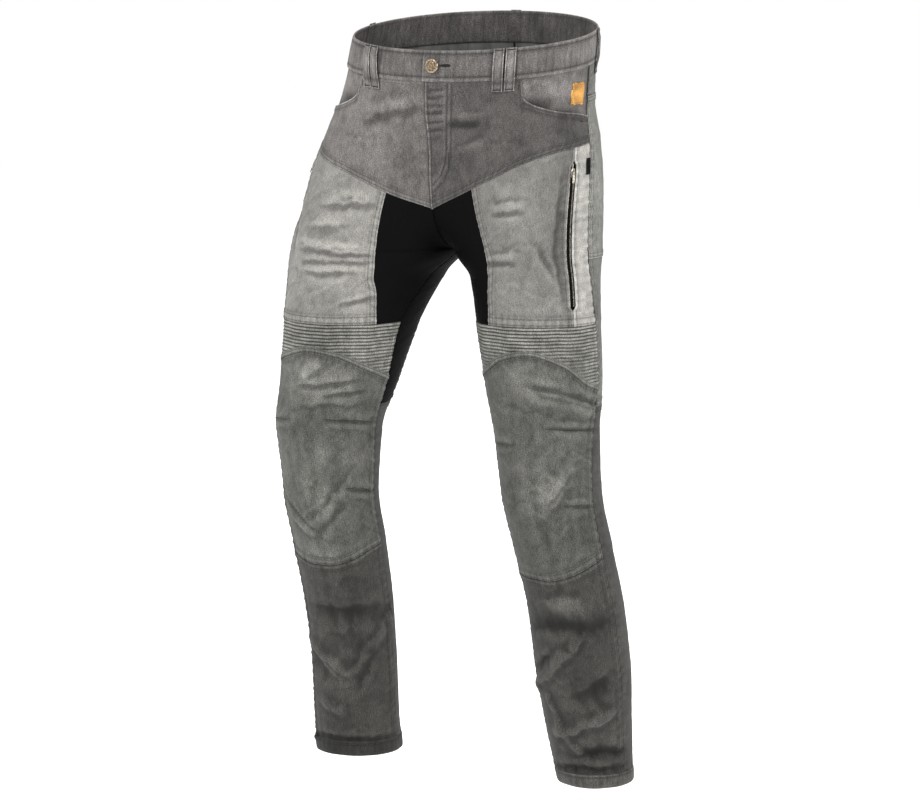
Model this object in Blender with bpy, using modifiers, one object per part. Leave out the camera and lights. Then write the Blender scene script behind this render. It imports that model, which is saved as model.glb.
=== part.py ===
"""Motorcycle trousers, filled out as if worn: denim panels, black stretch inserts, ribbed
knee panels, zipped thigh pockets, waistband, loops, button and hems, each its own solid.

Metres, +Z up. The front faces -Y and the wearer's left is +X. The origin is the centre of
the waist opening, where the wearer's waist holds the garment up.

Every panel is cut from one surface. Each side of the body has a surface in two numbers:
u runs round the side from the centre front or inseam (0) past the outseam (about 0.5) to
the centre back or inseam (1), and level runs down from the waist's top edge (0).
"""

import math

import bmesh
import bpy
import numpy as np
from mathutils import Matrix, Vector

LEFT, RIGHT = 1, -1
SIDE_NAME = {LEFT: "left", RIGHT: "right"}

# Cloth
CLOTH = 0.0016  # one wall of denim with its backing
SEAM_HALF_GAP = 0.0002  # each panel stops this far short of its seam
LAYER_GAP = 0.0003  # between pieces that lie on each other
UNDER_GAP = 0.0009  # between the shell and the wide pieces beneath it
CENTRE_CLEARANCE = 0.0002  # each side keeps this far from the centre plane

# Waist to crotch. level: below the waist's top edge. Halves: out to each side.
# front, back: to the centre front and centre back seams. tilt: the back stands higher.
# sway: the hips' shift to the wearer's right, which is -X.
TORSO_COLUMNS = ("level", "left_half", "right_half", "front", "back", "tilt", "sway")
TORSO = (
    (0.000, 0.176, 0.178, 0.114, 0.120, 0.024, 0.000),
    (-0.044, 0.176, 0.186, 0.114, 0.124, 0.022, -0.003),
    (-0.100, 0.175, 0.200, 0.112, 0.132, 0.016, -0.006),
    (-0.150, 0.183, 0.216, 0.110, 0.142, 0.010, -0.009),
    (-0.200, 0.190, 0.226, 0.106, 0.146, 0.004, -0.011),
    (-0.293, 0.196, 0.230, 0.092, 0.132, 0.000, -0.012),
)
TILT_REACH = 0.12  # front to back distance over which tilt is measured

CROTCH = -0.293  # level of the crotch point
RISE_Y = -0.022  # where the crotch point lies, front to back

# One leg, level by level. x, y: its centre, x outwards from the centre line. outer, inner,
# front, back: from its centre to the cloth. turn: degrees towards the wearer's left.
LEG_COLUMNS = ("level", "x", "y", "outer", "inner", "front", "back", "turn")
LEG = {
    LEFT: (
        (0.000, 0.080, 0.000, 0.094, 0.090, 0.108, 0.112, 0),
        (-0.100, 0.090, -0.006, 0.096, 0.100, 0.102, 0.136, 0),
        (-0.200, 0.098, -0.016, 0.092, 0.100, 0.092, 0.148, 0),
        (-0.293, 0.104, RISE_Y, 0.091, 0.104, 0.080, 0.138, 0),
        (-0.330, 0.108, -0.0235, 0.090, 0.081, 0.0765, 0.1255, 3),
        (-0.400, 0.116, -0.022, 0.087, 0.078, 0.080, 0.110, 8),
        (-0.470, 0.125, -0.018, 0.081, 0.077, 0.085, 0.091, 11),
        (-0.540, 0.133, -0.020, 0.072, 0.070, 0.084, 0.076, 12),
        (-0.620, 0.141, -0.020, 0.068, 0.068, 0.078, 0.073, 12),
        (-0.700, 0.153, -0.008, 0.067, 0.067, 0.072, 0.074, 12),
        (-0.780, 0.162, 0.012, 0.066, 0.066, 0.068, 0.074, 12),
        (-0.860, 0.166, 0.026, 0.066, 0.066, 0.067, 0.072, 12),
        (-0.940, 0.168, 0.040, 0.061, 0.061, 0.061, 0.064, 12),
        (-1.037, 0.172, 0.056, 0.053, 0.052, 0.055, 0.054, 12),
    ),
    RIGHT: (
        (0.000, 0.080, 0.000, 0.095, 0.090, 0.110, 0.112, 0),
        (-0.100, 0.095, -0.010, 0.108, 0.100, 0.110, 0.132, 0),
        (-0.200, 0.108, -0.014, 0.120, 0.108, 0.124, 0.136, 0),
        (-0.293, 0.116, RISE_Y, 0.122, 0.116, 0.147, 0.123, 0),
        (-0.330, 0.122, -0.045, 0.110, 0.098, 0.135, 0.115, 0),
        (-0.400, 0.125, -0.096, 0.092, 0.085, 0.104, 0.102, 2),
        (-0.470, 0.132, -0.116, 0.083, 0.077, 0.091, 0.084, 6),
        (-0.540, 0.141, -0.130, 0.073, 0.069, 0.084, 0.074, 10),
        (-0.620, 0.141, -0.130, 0.065, 0.064, 0.074, 0.069, 12),
        (-0.700, 0.139, -0.112, 0.063, 0.063, 0.069, 0.071, 12),
        (-0.780, 0.139, -0.090, 0.061, 0.061, 0.064, 0.070, 12),
        (-0.860, 0.139, -0.076, 0.059, 0.059, 0.061, 0.068, 12),
        (-0.940, 0.140, -0.068, 0.059, 0.059, 0.060, 0.066, 12),
        (-1.000, 0.138, -0.064, 0.060, 0.060, 0.060, 0.062, 12),
    ),
}
HEM_LEVEL = {LEFT: -1.037, RIGHT: -1.000}

JOIN_HEIGHT = 0.13  # over which the thighs part below the hips
JOIN_POWER = 2.2
WAIST_SHAPE_ENDS = -0.060  # below this the waist's ellipse turns into two thighs

# Seams, each a short table of (u, level) or (level, u)
WAIST_SEAM = -0.044
POCKET_MOUTH = (
    (0.2305, -0.045), (0.2345, -0.060), (0.240, -0.069), (0.262, -0.079),
    (0.310, -0.089), (0.370, -0.097), (0.440, -0.103), (0.500, -0.110),
)
YOKE_TIP = -0.233
YOKE_SEAM = {
    LEFT: (
        (0.000, YOKE_TIP), (0.100, -0.211), (0.190, -0.188), (0.300, -0.160),
        (0.370, -0.151), (0.430, -0.148), (0.500, -0.145),
    ),
    RIGHT: (
        (0.000, YOKE_TIP), (0.100, -0.216), (0.190, -0.196), (0.300, -0.176),
        (0.430, -0.160), (0.500, -0.155),
    ),
}
FLY_EDGE = (
    (0.000, -0.025), (-0.044, -0.018), (-0.090, -0.014), (-0.125, -0.006), (-0.160, -0.001),
    (YOKE_TIP, 0.000),
)
INSERT_EDGE = {
    LEFT: (
        (-0.200, 0.130), (-0.236, 0.150), (-0.270, 0.180), (-0.300, 0.198), (-0.339, 0.181),
        (-0.388, 0.165),
    ),
    RIGHT: (
        (-0.200, 0.117), (-0.236, 0.134), (-0.270, 0.140), (-0.300, 0.155), (-0.339, 0.130),
        (-0.388, 0.108),
    ),
}
ZIP_SEAM = ((-0.148, 0.424), (-0.200, 0.424), (-0.280, 0.423), (-0.388, 0.403))
OUTSEAM = (
    (-0.044, 0.500), (-0.300, 0.500), (-0.405, 0.495), (-0.500, 0.470), (-0.560, 0.450),
    (-0.630, 0.440), (-0.750, 0.430), (-1.040, 0.430),
)
INSEAM = (
    (CROTCH, 0.000), (-0.345, 0.025), (-0.388, 0.042), (-0.470, 0.035),
    (-0.600, 0.025), (-1.040, 0.020),
)
RIB_TOP = -0.388
KNEE_ARCH = {
    LEFT: (
        (0.030, -0.466), (0.121, -0.451), (0.197, -0.433), (0.270, -0.426), (0.350, -0.440),
        (0.426, -0.469), (0.500, -0.482),
    ),
    RIGHT: (
        (0.030, -0.468), (0.121, -0.448), (0.197, -0.431), (0.270, -0.425), (0.350, -0.4345),
        (0.426, -0.446), (0.500, -0.460),
    ),
}
KNEE_FOOT = {
    LEFT: (
        (0.020, -0.7345), (0.090, -0.7345), (0.160, -0.7340), (0.231, -0.7335),
        (0.301, -0.7270), (0.372, -0.7150), (0.440, -0.7030),
    ),
    RIGHT: (
        (0.020, -0.6950), (0.090, -0.7020), (0.160, -0.7140), (0.231, -0.7200),
        (0.301, -0.7205), (0.372, -0.7145), (0.440, -0.7060),
    ),
}
BACK_YOKE_SEAM = ((0.500, -0.084), (0.750, -0.094), (1.000, -0.116))
SEAT_FOOT = ((0.495, -0.300), (0.700, -0.306), (0.850, -0.298), (1.000, -0.275))
INSERT_BACK_EDGE = ((-0.298, 0.850), (-0.400, 0.900), (-0.430, 0.940), (-0.500, 0.940))
KNEE_BACK_SEAM = -0.500

# Ribs of the stretch panel over each knee
RIBS = 13
RIB_HEIGHT = 0.0012

# Small pieces
GAP_IN_U = 0.0005
CLOTH_PER_U = 0.56  # metres of cloth to one unit of u, on the hips and thighs
LAP_RAMP = 0.035
BAND_RAISE = 0.0006
BAND_WALL = 0.0026
BAND_END_U = -0.025
HEM_HEIGHT = 0.020
HEM_RAISE = {LEFT: 0.0009, RIGHT: 0.0016}
HEM_WALL = 0.0030
FACING_WALL = 0.0012
FACING_START = 0.205
FACING_BELOW_MOUTH = 0.014
ZIP_TOP, ZIP_BOTTOM = -0.165, -0.368
ZIP_END = 0.008  # over which the slit opens at each end
ZIP_GAPE = 0.0100
ZIP_TAPE_WIDTH = 0.024
ZIP_TAPE_WALL = 0.0011
SLIDER_LEVEL = -0.182
SLIDER_LENGTH, SLIDER_WIDTH, SLIDER_HEIGHT = 0.0130, 0.0070, 0.0024
SLIDER_BASE = -CLOTH
PULL_LENGTH, PULL_WIDTH, PULL_THICK = 0.0190, 0.0044, 0.0012
PULL_PAST_HINGE = 0.0007
PULL_HINGE_UP, PULL_HINGE_OUT = 0.0035, 0.0019
LOOP_WIDTH, LOOP_LENGTH, LOOP_WALL, LOOP_TOP = 0.015, 0.060, 0.0015, 0.001
LOOP_PROFILE = (
    (0.00, 0.0009), (0.08, 0.0012), (0.20, 0.0034), (0.62, 0.0036),
    (0.78, 0.0012), (0.90, 0.0004), (1.00, 0.0003),
)
BUTTON_RADIUS, BUTTON_U, BUTTON_LEVEL = 0.0098, 0.000, -0.021
BUTTON_OFFSET = BAND_RAISE + BAND_WALL + LAYER_GAP + 0.0004
BUTTON_PROFILE = (
    (0.00, 0.0042), (0.55, 0.0042), (0.66, 0.0034), (0.80, 0.0036), (0.95, 0.0032),
    (1.00, 0.0022), (0.92, 0.0012), (0.50, 0.0008), (0.50, 0.0000), (0.00, 0.0000),
)
BADGE_U, BADGE_LEVEL = 0.430, -0.073
BADGE_WIDTH, BADGE_HEIGHT, BADGE_THICK = 0.030, 0.026, 0.0009
TAB_U, TAB_LEVEL = 0.486, -0.176
TAB_WIDTH, TAB_HEIGHT, TAB_THICK = 0.011, 0.022, 0.0010

# Belt loops: side of the body, u of the loop's middle, name
BELT_LOOPS = (
    (LEFT, 0.168, "belt_loop_left_1"),
    (LEFT, 0.200, "belt_loop_left_2"),
    (LEFT, 0.560, "belt_loop_left_3"),
    (RIGHT, 0.168, "belt_loop_right_1"),
    (RIGHT, 0.200, "belt_loop_right_2"),
    (RIGHT, 0.560, "belt_loop_right_3"),
)

# Colours, linear
YOKE_GREY, BAND_GREY, LOOP_GREY = (0.165, 0.152, 0.143), (0.18, 0.17, 0.167), (0.17, 0.16, 0.155)
FACING_GREY, BACK_GREY, THIGH_GREY = (0.117, 0.115, 0.11), (0.15, 0.14, 0.135), (0.34, 0.33, 0.31)
SIDE_GREY, RIB_GREY, KNEE_GREY = (0.30, 0.29, 0.275), (0.16, 0.15, 0.14), (0.17, 0.165, 0.15)
SHIN_GREY, INSERT_BLACK = (0.068, 0.064, 0.06), (0.009, 0.009, 0.010)
PATCH_TAN, BRASS = (0.46, 0.25, 0.09), (0.30, 0.21, 0.13)

# The largest folds: soft troughs (negative depth) and ridges. u, level: the middle.
# along, across: half lengths. slant: degrees, rising towards higher u.
FOLD_COLUMNS = ("u", "level", "along", "across", "slant", "depth")
FOLDS = {
    LEFT: (
        (0.200, -0.262, 0.040, 0.012, 6, -0.0030),
        (0.180, -0.322, 0.036, 0.011, -4, -0.0024),
        (0.300, -0.350, 0.050, 0.014, 8, 0.0016),
        (0.250, -0.600, 0.080, 0.090, 0, 0.0040),
        (0.300, -0.812, 0.060, 0.016, 10, -0.0042),
        (0.180, -0.880, 0.050, 0.015, -24, 0.0040),
        (0.300, -0.925, 0.060, 0.015, 20, -0.0052),
        (0.240, -0.966, 0.070, 0.012, 8, 0.0034),
        (0.300, -0.996, 0.060, 0.011, 6, -0.0046),
        (0.740, -0.470, 0.070, 0.013, 6, -0.0050),
        (0.760, -0.512, 0.070, 0.013, -8, 0.0040),
        (0.740, -0.548, 0.060, 0.013, 4, -0.0044),
        (0.860, -0.250, 0.060, 0.016, 35, -0.0044),
        (0.780, -0.330, 0.070, 0.016, 14, -0.0034),
        (0.720, -0.880, 0.060, 0.016, -12, -0.0040),
        (0.780, -0.960, 0.060, 0.013, 10, -0.0046),
    ),
    RIGHT: (
        (0.260, -0.248, 0.050, 0.012, -4, -0.0030),
        (0.250, -0.318, 0.060, 0.012, -6, -0.0036),
        (0.220, -0.362, 0.044, 0.011, 4, -0.0022),
        (0.250, -0.600, 0.080, 0.090, 0, 0.0040),
        (0.280, -0.790, 0.070, 0.018, -6, -0.0040),
        (0.380, -0.850, 0.050, 0.014, 48, 0.0030),
        (0.200, -0.900, 0.050, 0.016, -30, -0.0026),
        (0.280, -0.966, 0.070, 0.010, -4, -0.0030),
        (0.740, -0.470, 0.070, 0.013, -6, -0.0052),
        (0.760, -0.508, 0.070, 0.013, 8, 0.0042),
        (0.740, -0.545, 0.060, 0.013, -4, -0.0046),
        (0.860, -0.255, 0.060, 0.016, 32, -0.0046),
        (0.780, -0.335, 0.070, 0.016, 12, -0.0036),
        (0.720, -0.850, 0.060, 0.016, 12, -0.0040),
        (0.780, -0.930, 0.060, 0.013, -10, -0.0044),
    ),
}
FOLD_U_LENGTH = 0.48  # metres of cloth to one unit of u, for the folds' own sizes


def column(table, names, name, level):
    """Reads one column of a table at any level, on a monotone cubic through its rows."""
    rows = np.array(table, float)
    down = -rows[:, 0]
    value = rows[:, names.index(name)]
    step = np.diff(down)
    slope = np.diff(value) / step
    tangent = np.zeros_like(value)
    tangent[0], tangent[-1] = slope[0], slope[-1]
    before, after = slope[:-1], slope[1:]
    turning = before * after <= 0
    safe_before = np.where(turning, 1.0, before)
    safe_after = np.where(turning, 1.0, after)
    weight_a = 2 * step[1:] + step[:-1]
    weight_b = step[1:] + 2 * step[:-1]
    mean = (weight_a + weight_b) / (weight_a / safe_before + weight_b / safe_after)
    tangent[1:-1] = np.where(turning, 0.0, mean)
    wanted = -np.asarray(level, float)
    i = np.clip(np.searchsorted(down, wanted) - 1, 0, len(down) - 2)
    t = np.clip((wanted - down[i]) / step[i], 0, 1)
    return (
        (1 + 2 * t) * (1 - t) ** 2 * value[i]
        + t * (1 - t) ** 2 * step[i] * tangent[i]
        + t**2 * (3 - 2 * t) * value[i + 1]
        + t**2 * (t - 1) * step[i] * tangent[i + 1]
    )


def fold_depth(side, u, level):
    """How far the folds push the cloth outwards: a sum of long soft bells."""
    total = np.zeros(np.broadcast(u, level).shape)
    for row in FOLDS[side]:
        fold = dict(zip(FOLD_COLUMNS, row))
        slant = math.radians(fold["slant"])
        away = u - fold["u"]
        away = np.where(level < CROTCH, (away + 0.5) % 1 - 0.5, away)
        across_u = away * FOLD_U_LENGTH
        down = level - fold["level"]
        along = (across_u * math.cos(slant) + down * math.sin(slant)) / fold["along"]
        across = (down * math.cos(slant) - across_u * math.sin(slant)) / fold["across"]
        total = total + fold["depth"] * np.exp(-(along**2) - across**2)
    return total


def smooth_step(value):
    """0 to 1 with level ends."""
    value = np.clip(value, 0, 1)
    return value * value * (3 - 2 * value)


def half_surface(side, u, level):
    """One side's surface without folds. Below the crotch u goes round a closed leg."""
    u = np.where(level < CROTCH, u % 1.0, np.clip(u, 0, 1))
    leg = {name: column(LEG[side], LEG_COLUMNS, name, level) for name in LEG_COLUMNS[1:]}
    torso = {name: column(TORSO, TORSO_COLUMNS, name, level) for name in TORSO_COLUMNS[1:]}

    # The leg is four quarter ellipses round its centre, turned a little
    angle = (4 * u - 1) * np.pi / 2
    sine, cosine = np.sin(angle), np.cos(angle)
    local_x = np.where(sine > 0, leg["outer"], leg["inner"]) * sine
    local_y = -np.where(cosine > 0, leg["front"], leg["back"]) * cosine
    turn = np.radians(leg["turn"]) * side
    leg_x = leg["x"] + local_x * np.cos(turn) - local_y * np.sin(turn)
    leg_y = leg["y"] + local_x * np.sin(turn) + local_y * np.cos(turn)

    # Above the crotch the two inner quarters run to the centre seams instead
    join = np.clip(1 - (level - CROTCH) / JOIN_HEIGHT, 0, 1) ** JOIN_POWER
    reach = np.sqrt(1 - join**2)
    is_front = u < 0.5
    seam_y = np.where(
        is_front,
        RISE_Y - (torso["front"] + RISE_Y) * reach,
        RISE_Y + (torso["back"] - RISE_Y) * reach,
    )
    widest_y = np.where(is_front, leg["y"] - leg["front"], leg["y"] + leg["back"])
    share = np.where(is_front, np.clip(1 - 4 * u, 0, 1), np.clip(4 * u - 3, 0, 1))
    arc = np.arcsin(np.clip(join, 0.001, 1))
    run = np.sin(share * arc) / np.sin(arc)
    round_bow = (1 - np.cos(share * arc)) / (1 - np.cos(arc))
    bow = (1 - join) * smooth_step(share) + join * round_bow
    inner = (share > 0) & (level > CROTCH)
    leg_x = np.where(inner, leg["x"] * (1 - run), leg_x)
    leg_y = np.where(inner, widest_y + (seam_y - widest_y) * bow, leg_y)

    # The waist is half an ellipse
    psi = u * np.pi
    half = torso["left_half" if side == LEFT else "right_half"]
    waist_x = half * np.sin(psi)
    waist_y = -np.where(is_front, torso["front"], torso["back"]) * np.cos(psi)
    thigh = smooth_step((WAIST_SHAPE_ENDS - level) / (WAIST_SHAPE_ENDS - CROTCH))
    x = waist_x * (1 - thigh) + leg_x * thigh + CENTRE_CLEARANCE
    y = waist_y * (1 - thigh) + leg_y * thigh
    z = level + torso["tilt"] * np.clip(y / TILT_REACH, -1.2, 1.2)
    return np.stack([side * x + torso["sway"], y, z], -1)


def base_surface(side, u, level):
    """One side's surface, which runs on past the centre front onto the other side."""
    u, level = np.broadcast_arrays(np.asarray(u, float), np.asarray(level, float))
    over = (u < 0) & (level > CROTCH)
    own = half_surface(side, u, level)
    other = half_surface(-side, np.where(over, -u, 0.1), level)
    return np.where(over[..., None], other, own)


def normal(side, u, level):
    """Outward unit normal of the base surface, from its two slopes."""
    u, level = np.broadcast_arrays(np.asarray(u, float), np.asarray(level, float))
    step_u, step_level = 0.004, 0.002
    above = level > CROTCH
    high_u = np.where(above, np.minimum(u + step_u, 1), u + step_u)
    round_way = base_surface(side, high_u, level) - base_surface(side, u - step_u, level)
    down_way = base_surface(side, u, level - step_level) - base_surface(
        side, u, level + step_level
    )
    direction = np.cross(round_way, down_way) * -side
    length = np.linalg.norm(direction, axis=-1, keepdims=True)
    return direction / np.maximum(length, 1e-12)


def cloth(side, u, level, offset=0.0):
    """Points on the folded cloth, moved out along the base surface's normal by offset."""
    out = fold_depth(side, u, level) + offset
    return base_surface(side, u, level) + normal(side, u, level) * out[..., None]


def curve(table, at):
    """Reads the second column of a seam's table at any place along its first."""
    rows = sorted(table, key=lambda row: -row[0])
    first, last = rows[0][0], rows[-1][0]
    return column(rows, ("at", "value"), "value", np.clip(at, last, first))


def gape(level):
    """How far the thigh zip stands open, as a share of its full gape."""
    top = smooth_step((ZIP_TOP - level) / ZIP_END)
    return top * smooth_step((level - ZIP_BOTTOM) / ZIP_END)


def constant(value):
    """A seam that is level, or that runs straight down."""
    return lambda at: np.full(np.shape(at), float(value))


def seam(table, shift=0.0):
    """A seam read from its table, moved by shift."""
    return lambda at: curve(table, at) + shift


def shares(count, extra=()):
    """Evenly spaced shares from 0 to 1, with a few more where a seam turns."""
    return np.unique(np.round(np.concatenate([np.linspace(0, 1, count + 1), extra]), 5))


# The seat's columns meet those of the thigh and of the insert below it
SEAT_COLUMNS = np.concatenate([np.linspace(0, 0.7, 9), np.linspace(0.7, 1, 5)[1:]])


def grid_between(start, end, top, bottom, across, down):
    """Grid of u and level between two upright seams and two level ones."""
    s, t = np.meshgrid(across, down)
    u, level = np.full(s.shape, 0.25), np.full(s.shape, -0.3)
    for _ in range(40):
        left, right = start(level) + GAP_IN_U, end(level) - GAP_IN_U
        u = left + s * (right - left)
        high, low = top(u) - SEAM_HALF_GAP, bottom(u) + SEAM_HALF_GAP
        level = high + t * (low - high)
    return u, level


def new_material(name, colour, roughness, metallic=0.0):
    """A plain Principled material."""
    material = bpy.data.materials.new(name)
    material.use_nodes = True
    shader = material.node_tree.nodes["Principled BSDF"]
    shader.inputs["Base Color"].default_value = (*colour, 1.0)
    shader.inputs["Roughness"].default_value = roughness
    shader.inputs["Metallic"].default_value = metallic
    material.diffuse_color = (*colour, 1.0)
    return material


def add_object(name, mesh, colour, roughness=0.9, metallic=0.0):
    """Links a mesh into the trousers' collection with a material of its own."""
    body = bpy.data.objects.new(name, mesh)
    mesh.materials.append(new_material(name + "_finish", colour, roughness, metallic))
    TROUSERS.objects.link(body)
    return body


def add_wall(name, outer, inner, colour, ring=False):
    """A wall of cloth: a grid on its outer points, extruded onto its inner points."""
    rows, columns = outer.shape[:2]
    outer, inner = outer.reshape(-1, 3), inner.reshape(-1, 3)
    body = bmesh.new()
    bmesh.ops.create_grid(body, x_segments=columns - 1, y_segments=rows - 1, size=1.0)
    body.verts.ensure_lookup_table()
    place = body.verts.layers.int.new("place")
    for index, vertex in enumerate(body.verts):
        vertex[place] = index
        vertex.co = outer[index]
    if ring:
        bmesh.ops.remove_doubles(body, verts=body.verts, dist=0.000001)
    faces = bmesh.ops.extrude_face_region(
        body, geom=body.faces[:], use_keep_orig=True
    )["geom"]
    for vertex in faces:
        if isinstance(vertex, bmesh.types.BMVert):
            vertex.co = inner[vertex[place]]
    bmesh.ops.recalc_face_normals(body, faces=body.faces)
    body.verts.layers.int.remove(place)
    mesh = bpy.data.meshes.new(name)
    body.to_mesh(mesh)
    body.free()
    mesh.shade_smooth()
    mesh.set_sharp_from_angle(angle=math.radians(50))
    return add_object(name, mesh, colour)


def add_panel(name, side, u, level, colour, outer_at=0.0, wall=CLOTH, ring=False):
    """A panel of cloth over a grid of u and level, its outer face moved out by outer_at."""
    outer = cloth(side, u, level, outer_at)
    inner = cloth(side, u, level, np.zeros(u.shape) - wall + np.broadcast_to(outer_at, u.shape))
    return add_wall(name, outer, inner, colour, ring)


def frame_on_cloth(side, u, level, offset):
    """Axes on the cloth: X along it level, Y up along it, Z out of it."""
    point = cloth(side, np.array([u]), np.array([level]), offset)[0]
    out = Vector(normal(side, np.array([u]), np.array([level]))[0])
    rise = cloth(side, np.array([u]), np.array([level + 0.004]), offset)[0] - point
    up = Vector(rise)
    up = (up - out * up.dot(out)).normalized()
    along = up.cross(out)
    axes = Matrix((along, up, out)).transposed().to_4x4()
    return Matrix.Translation(Vector(point)) @ axes


def add_box(name, size, centre, frame, bevel, colour, metallic):
    """A bevelled box in a frame of its own."""
    body = bmesh.new()
    bmesh.ops.create_cube(body, size=1.0)
    bmesh.ops.scale(body, vec=Vector(size), verts=body.verts)
    bmesh.ops.translate(body, vec=Vector(centre), verts=body.verts)
    mesh = bpy.data.meshes.new(name)
    body.to_mesh(mesh)
    body.free()
    box = add_object(name, mesh, colour, 0.4, metallic)
    box.matrix_world = frame
    edge = box.modifiers.new("rounded", "BEVEL")
    edge.width, edge.segments, edge.limit_method = bevel, 1, "ANGLE"
    return box


def front_lap(u, level):
    """How far the wearer's left front stands out where it laps the right at the fly."""
    reach = np.clip(1 - u / LAP_RAMP, 0, 1)
    return np.where(level > CROTCH, (CLOTH + LAYER_GAP + 0.0002) * smooth_step(reach), 0.0)


def build_torso(side):
    """Yokes, pocket facing, insert and thigh panels of one side, down to the knee seam."""
    name = SIDE_NAME[side]
    fly = seam(FLY_EDGE) if side == LEFT else constant(0.0)
    yoke_seam, zip_seam = seam(YOKE_SEAM[side]), seam(ZIP_SEAM)
    insert, outseam = seam(INSERT_EDGE[side]), seam(OUTSEAM)
    zip_front = lambda level: zip_seam(level) - gape(level) * ZIP_GAPE / 2 / CLOTH_PER_U
    zip_back = lambda level: zip_seam(level) + gape(level) * ZIP_GAPE / 2 / CLOTH_PER_U
    inseam_front = seam(INSEAM)
    inseam_back = seam(INSEAM, 1.0)
    back_insert = seam(INSERT_BACK_EDGE)

    def yoke_top(u):
        mouth = curve(POCKET_MOUTH, np.clip(u, POCKET_MOUTH[0][0], 0.5))
        return np.where(u > POCKET_MOUTH[0][0], mouth, WAIST_SEAM)

    corner = (-0.0140, 0.0, 0.0120, 0.0230, 0.2305, 0.2345, 0.2400, 0.2500, 0.2650)
    first = float(fly(np.array(-0.05)))
    at = (np.array([place for place in corner if place > first]) - first) / (0.5 - first)
    u, level = grid_between(fly, constant(0.5), yoke_top, yoke_seam, shares(11, at), shares(5))
    lap = front_lap(u, level) if side == LEFT else 0.0
    add_panel("front_yoke_" + name, side, u, level, YOKE_GREY, lap)

    below = lambda u: curve(POCKET_MOUTH, np.clip(u, 0.2345, 0.5)) - FACING_BELOW_MOUTH
    u, level = grid_between(
        constant(FACING_START), constant(0.5), constant(WAIST_SEAM), below, shares(12), shares(5)
    )
    add_panel(
        "pocket_facing_" + name, side, u, level, FACING_GREY, -CLOTH - UNDER_GAP, FACING_WALL
    )

    ends = (ZIP_TOP, ZIP_TOP - ZIP_END, ZIP_BOTTOM + ZIP_END, ZIP_BOTTOM)
    high = float(yoke_seam(np.array(0.43)))
    turns = [(high - end) / (high - RIB_TOP) for end in ends]
    turns += [(YOKE_TIP - at) / (YOKE_TIP - RIB_TOP) for at in (CROTCH, CROTCH - 0.008)]
    u, level = grid_between(
        insert, zip_front, yoke_seam, constant(RIB_TOP), shares(8), shares(12, turns)
    )
    add_panel("thigh_front_" + name, side, u, level, THIGH_GREY)
    u, level = grid_between(
        zip_back, outseam, yoke_seam, constant(RIB_TOP), shares(3), shares(12, turns)
    )
    add_panel("thigh_side_" + name, side, u, level, SIDE_GREY)

    centre = lambda level: np.where(level > CROTCH, 0.0, inseam_front(level))
    u, level = grid_between(
        centre, insert, yoke_seam, constant(RIB_TOP), shares(4), shares(12, turns)
    )
    add_panel("front_insert_" + name, side, u, level, INSERT_BLACK)

    back_top = seam(SEAT_FOOT)
    back_end = lambda level: np.where(level > CROTCH, 1.0, inseam_back(level))
    high = SEAT_FOOT[-1][1]
    fork = [(high - at) / (high - KNEE_BACK_SEAM) for at in (CROTCH, CROTCH - 0.008)]
    u, level = grid_between(
        back_insert, back_end, back_top, constant(KNEE_BACK_SEAM), shares(4), shares(12, fork)
    )
    add_panel("back_insert_" + name, side, u, level, INSERT_BLACK)

    u, level = grid_between(
        constant(0.5), constant(1.0), constant(WAIST_SEAM), seam(BACK_YOKE_SEAM),
        SEAT_COLUMNS, shares(2),
    )
    add_panel("back_yoke_" + name, side, u, level, BACK_GREY)

    u, level = grid_between(
        seam(OUTSEAM), constant(1.0), seam(BACK_YOKE_SEAM), seam(SEAT_FOOT),
        SEAT_COLUMNS, shares(9),
    )
    add_panel("seat_" + name, side, u, level, BACK_GREY)
    u, level = grid_between(
        seam(OUTSEAM), back_insert, seam(SEAT_FOOT), constant(KNEE_BACK_SEAM),
        shares(8), shares(12, fork),
    )
    add_panel("thigh_back_" + name, side, u, level, BACK_GREY)


def build_lower_leg(side):
    """The ribbed panel, knee, shin, calf and hem of one leg."""
    name = SIDE_NAME[side]
    inseam_front, outseam, inseam_back = seam(INSEAM), seam(OUTSEAM), seam(INSEAM, 1.0)
    arch, foot = seam(KNEE_ARCH[side]), seam(KNEE_FOOT[side])
    hem_seam = constant(HEM_LEVEL[side] + HEM_HEIGHT)

    # Ribs stand on the outer face only and fade out at the panel's seams
    u, level = grid_between(
        inseam_front, outseam, constant(RIB_TOP), arch, shares(12), shares(2 * RIBS)
    )
    share = np.linspace(0, 1, 2 * RIBS + 1)[:, None] * np.ones(u.shape)
    crest = (np.arange(2 * RIBS + 1) % 2)[:, None] * np.ones(u.shape)
    fade = np.clip(np.minimum(share, 1 - share) * 12, 0, 1)
    outer = cloth(side, u, level, RIB_HEIGHT * crest * fade)
    inner = cloth(side, u, level, -CLOTH * np.ones(u.shape))
    add_wall("ribbed_panel_" + name, outer, inner, RIB_GREY)

    u, level = grid_between(inseam_front, outseam, arch, foot, shares(12), shares(14))
    add_panel("knee_panel_" + name, side, u, level, KNEE_GREY)
    u, level = grid_between(inseam_front, outseam, foot, hem_seam, shares(12), shares(13))
    add_panel("shin_front_" + name, side, u, level, SHIN_GREY)
    u, level = grid_between(
        outseam, inseam_back, constant(KNEE_BACK_SEAM), hem_seam, shares(11), shares(16)
    )
    add_panel("calf_back_" + name, side, u, level, SHIN_GREY)

    u, level = np.meshgrid(
        np.linspace(0, 1, 29),
        HEM_LEVEL[side] + np.linspace(HEM_HEIGHT - SEAM_HALF_GAP, 0, 3),
    )
    add_panel(
        "hem_" + name, side, u, level, SHIN_GREY, HEM_RAISE[side], HEM_WALL, ring=True
    )


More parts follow.
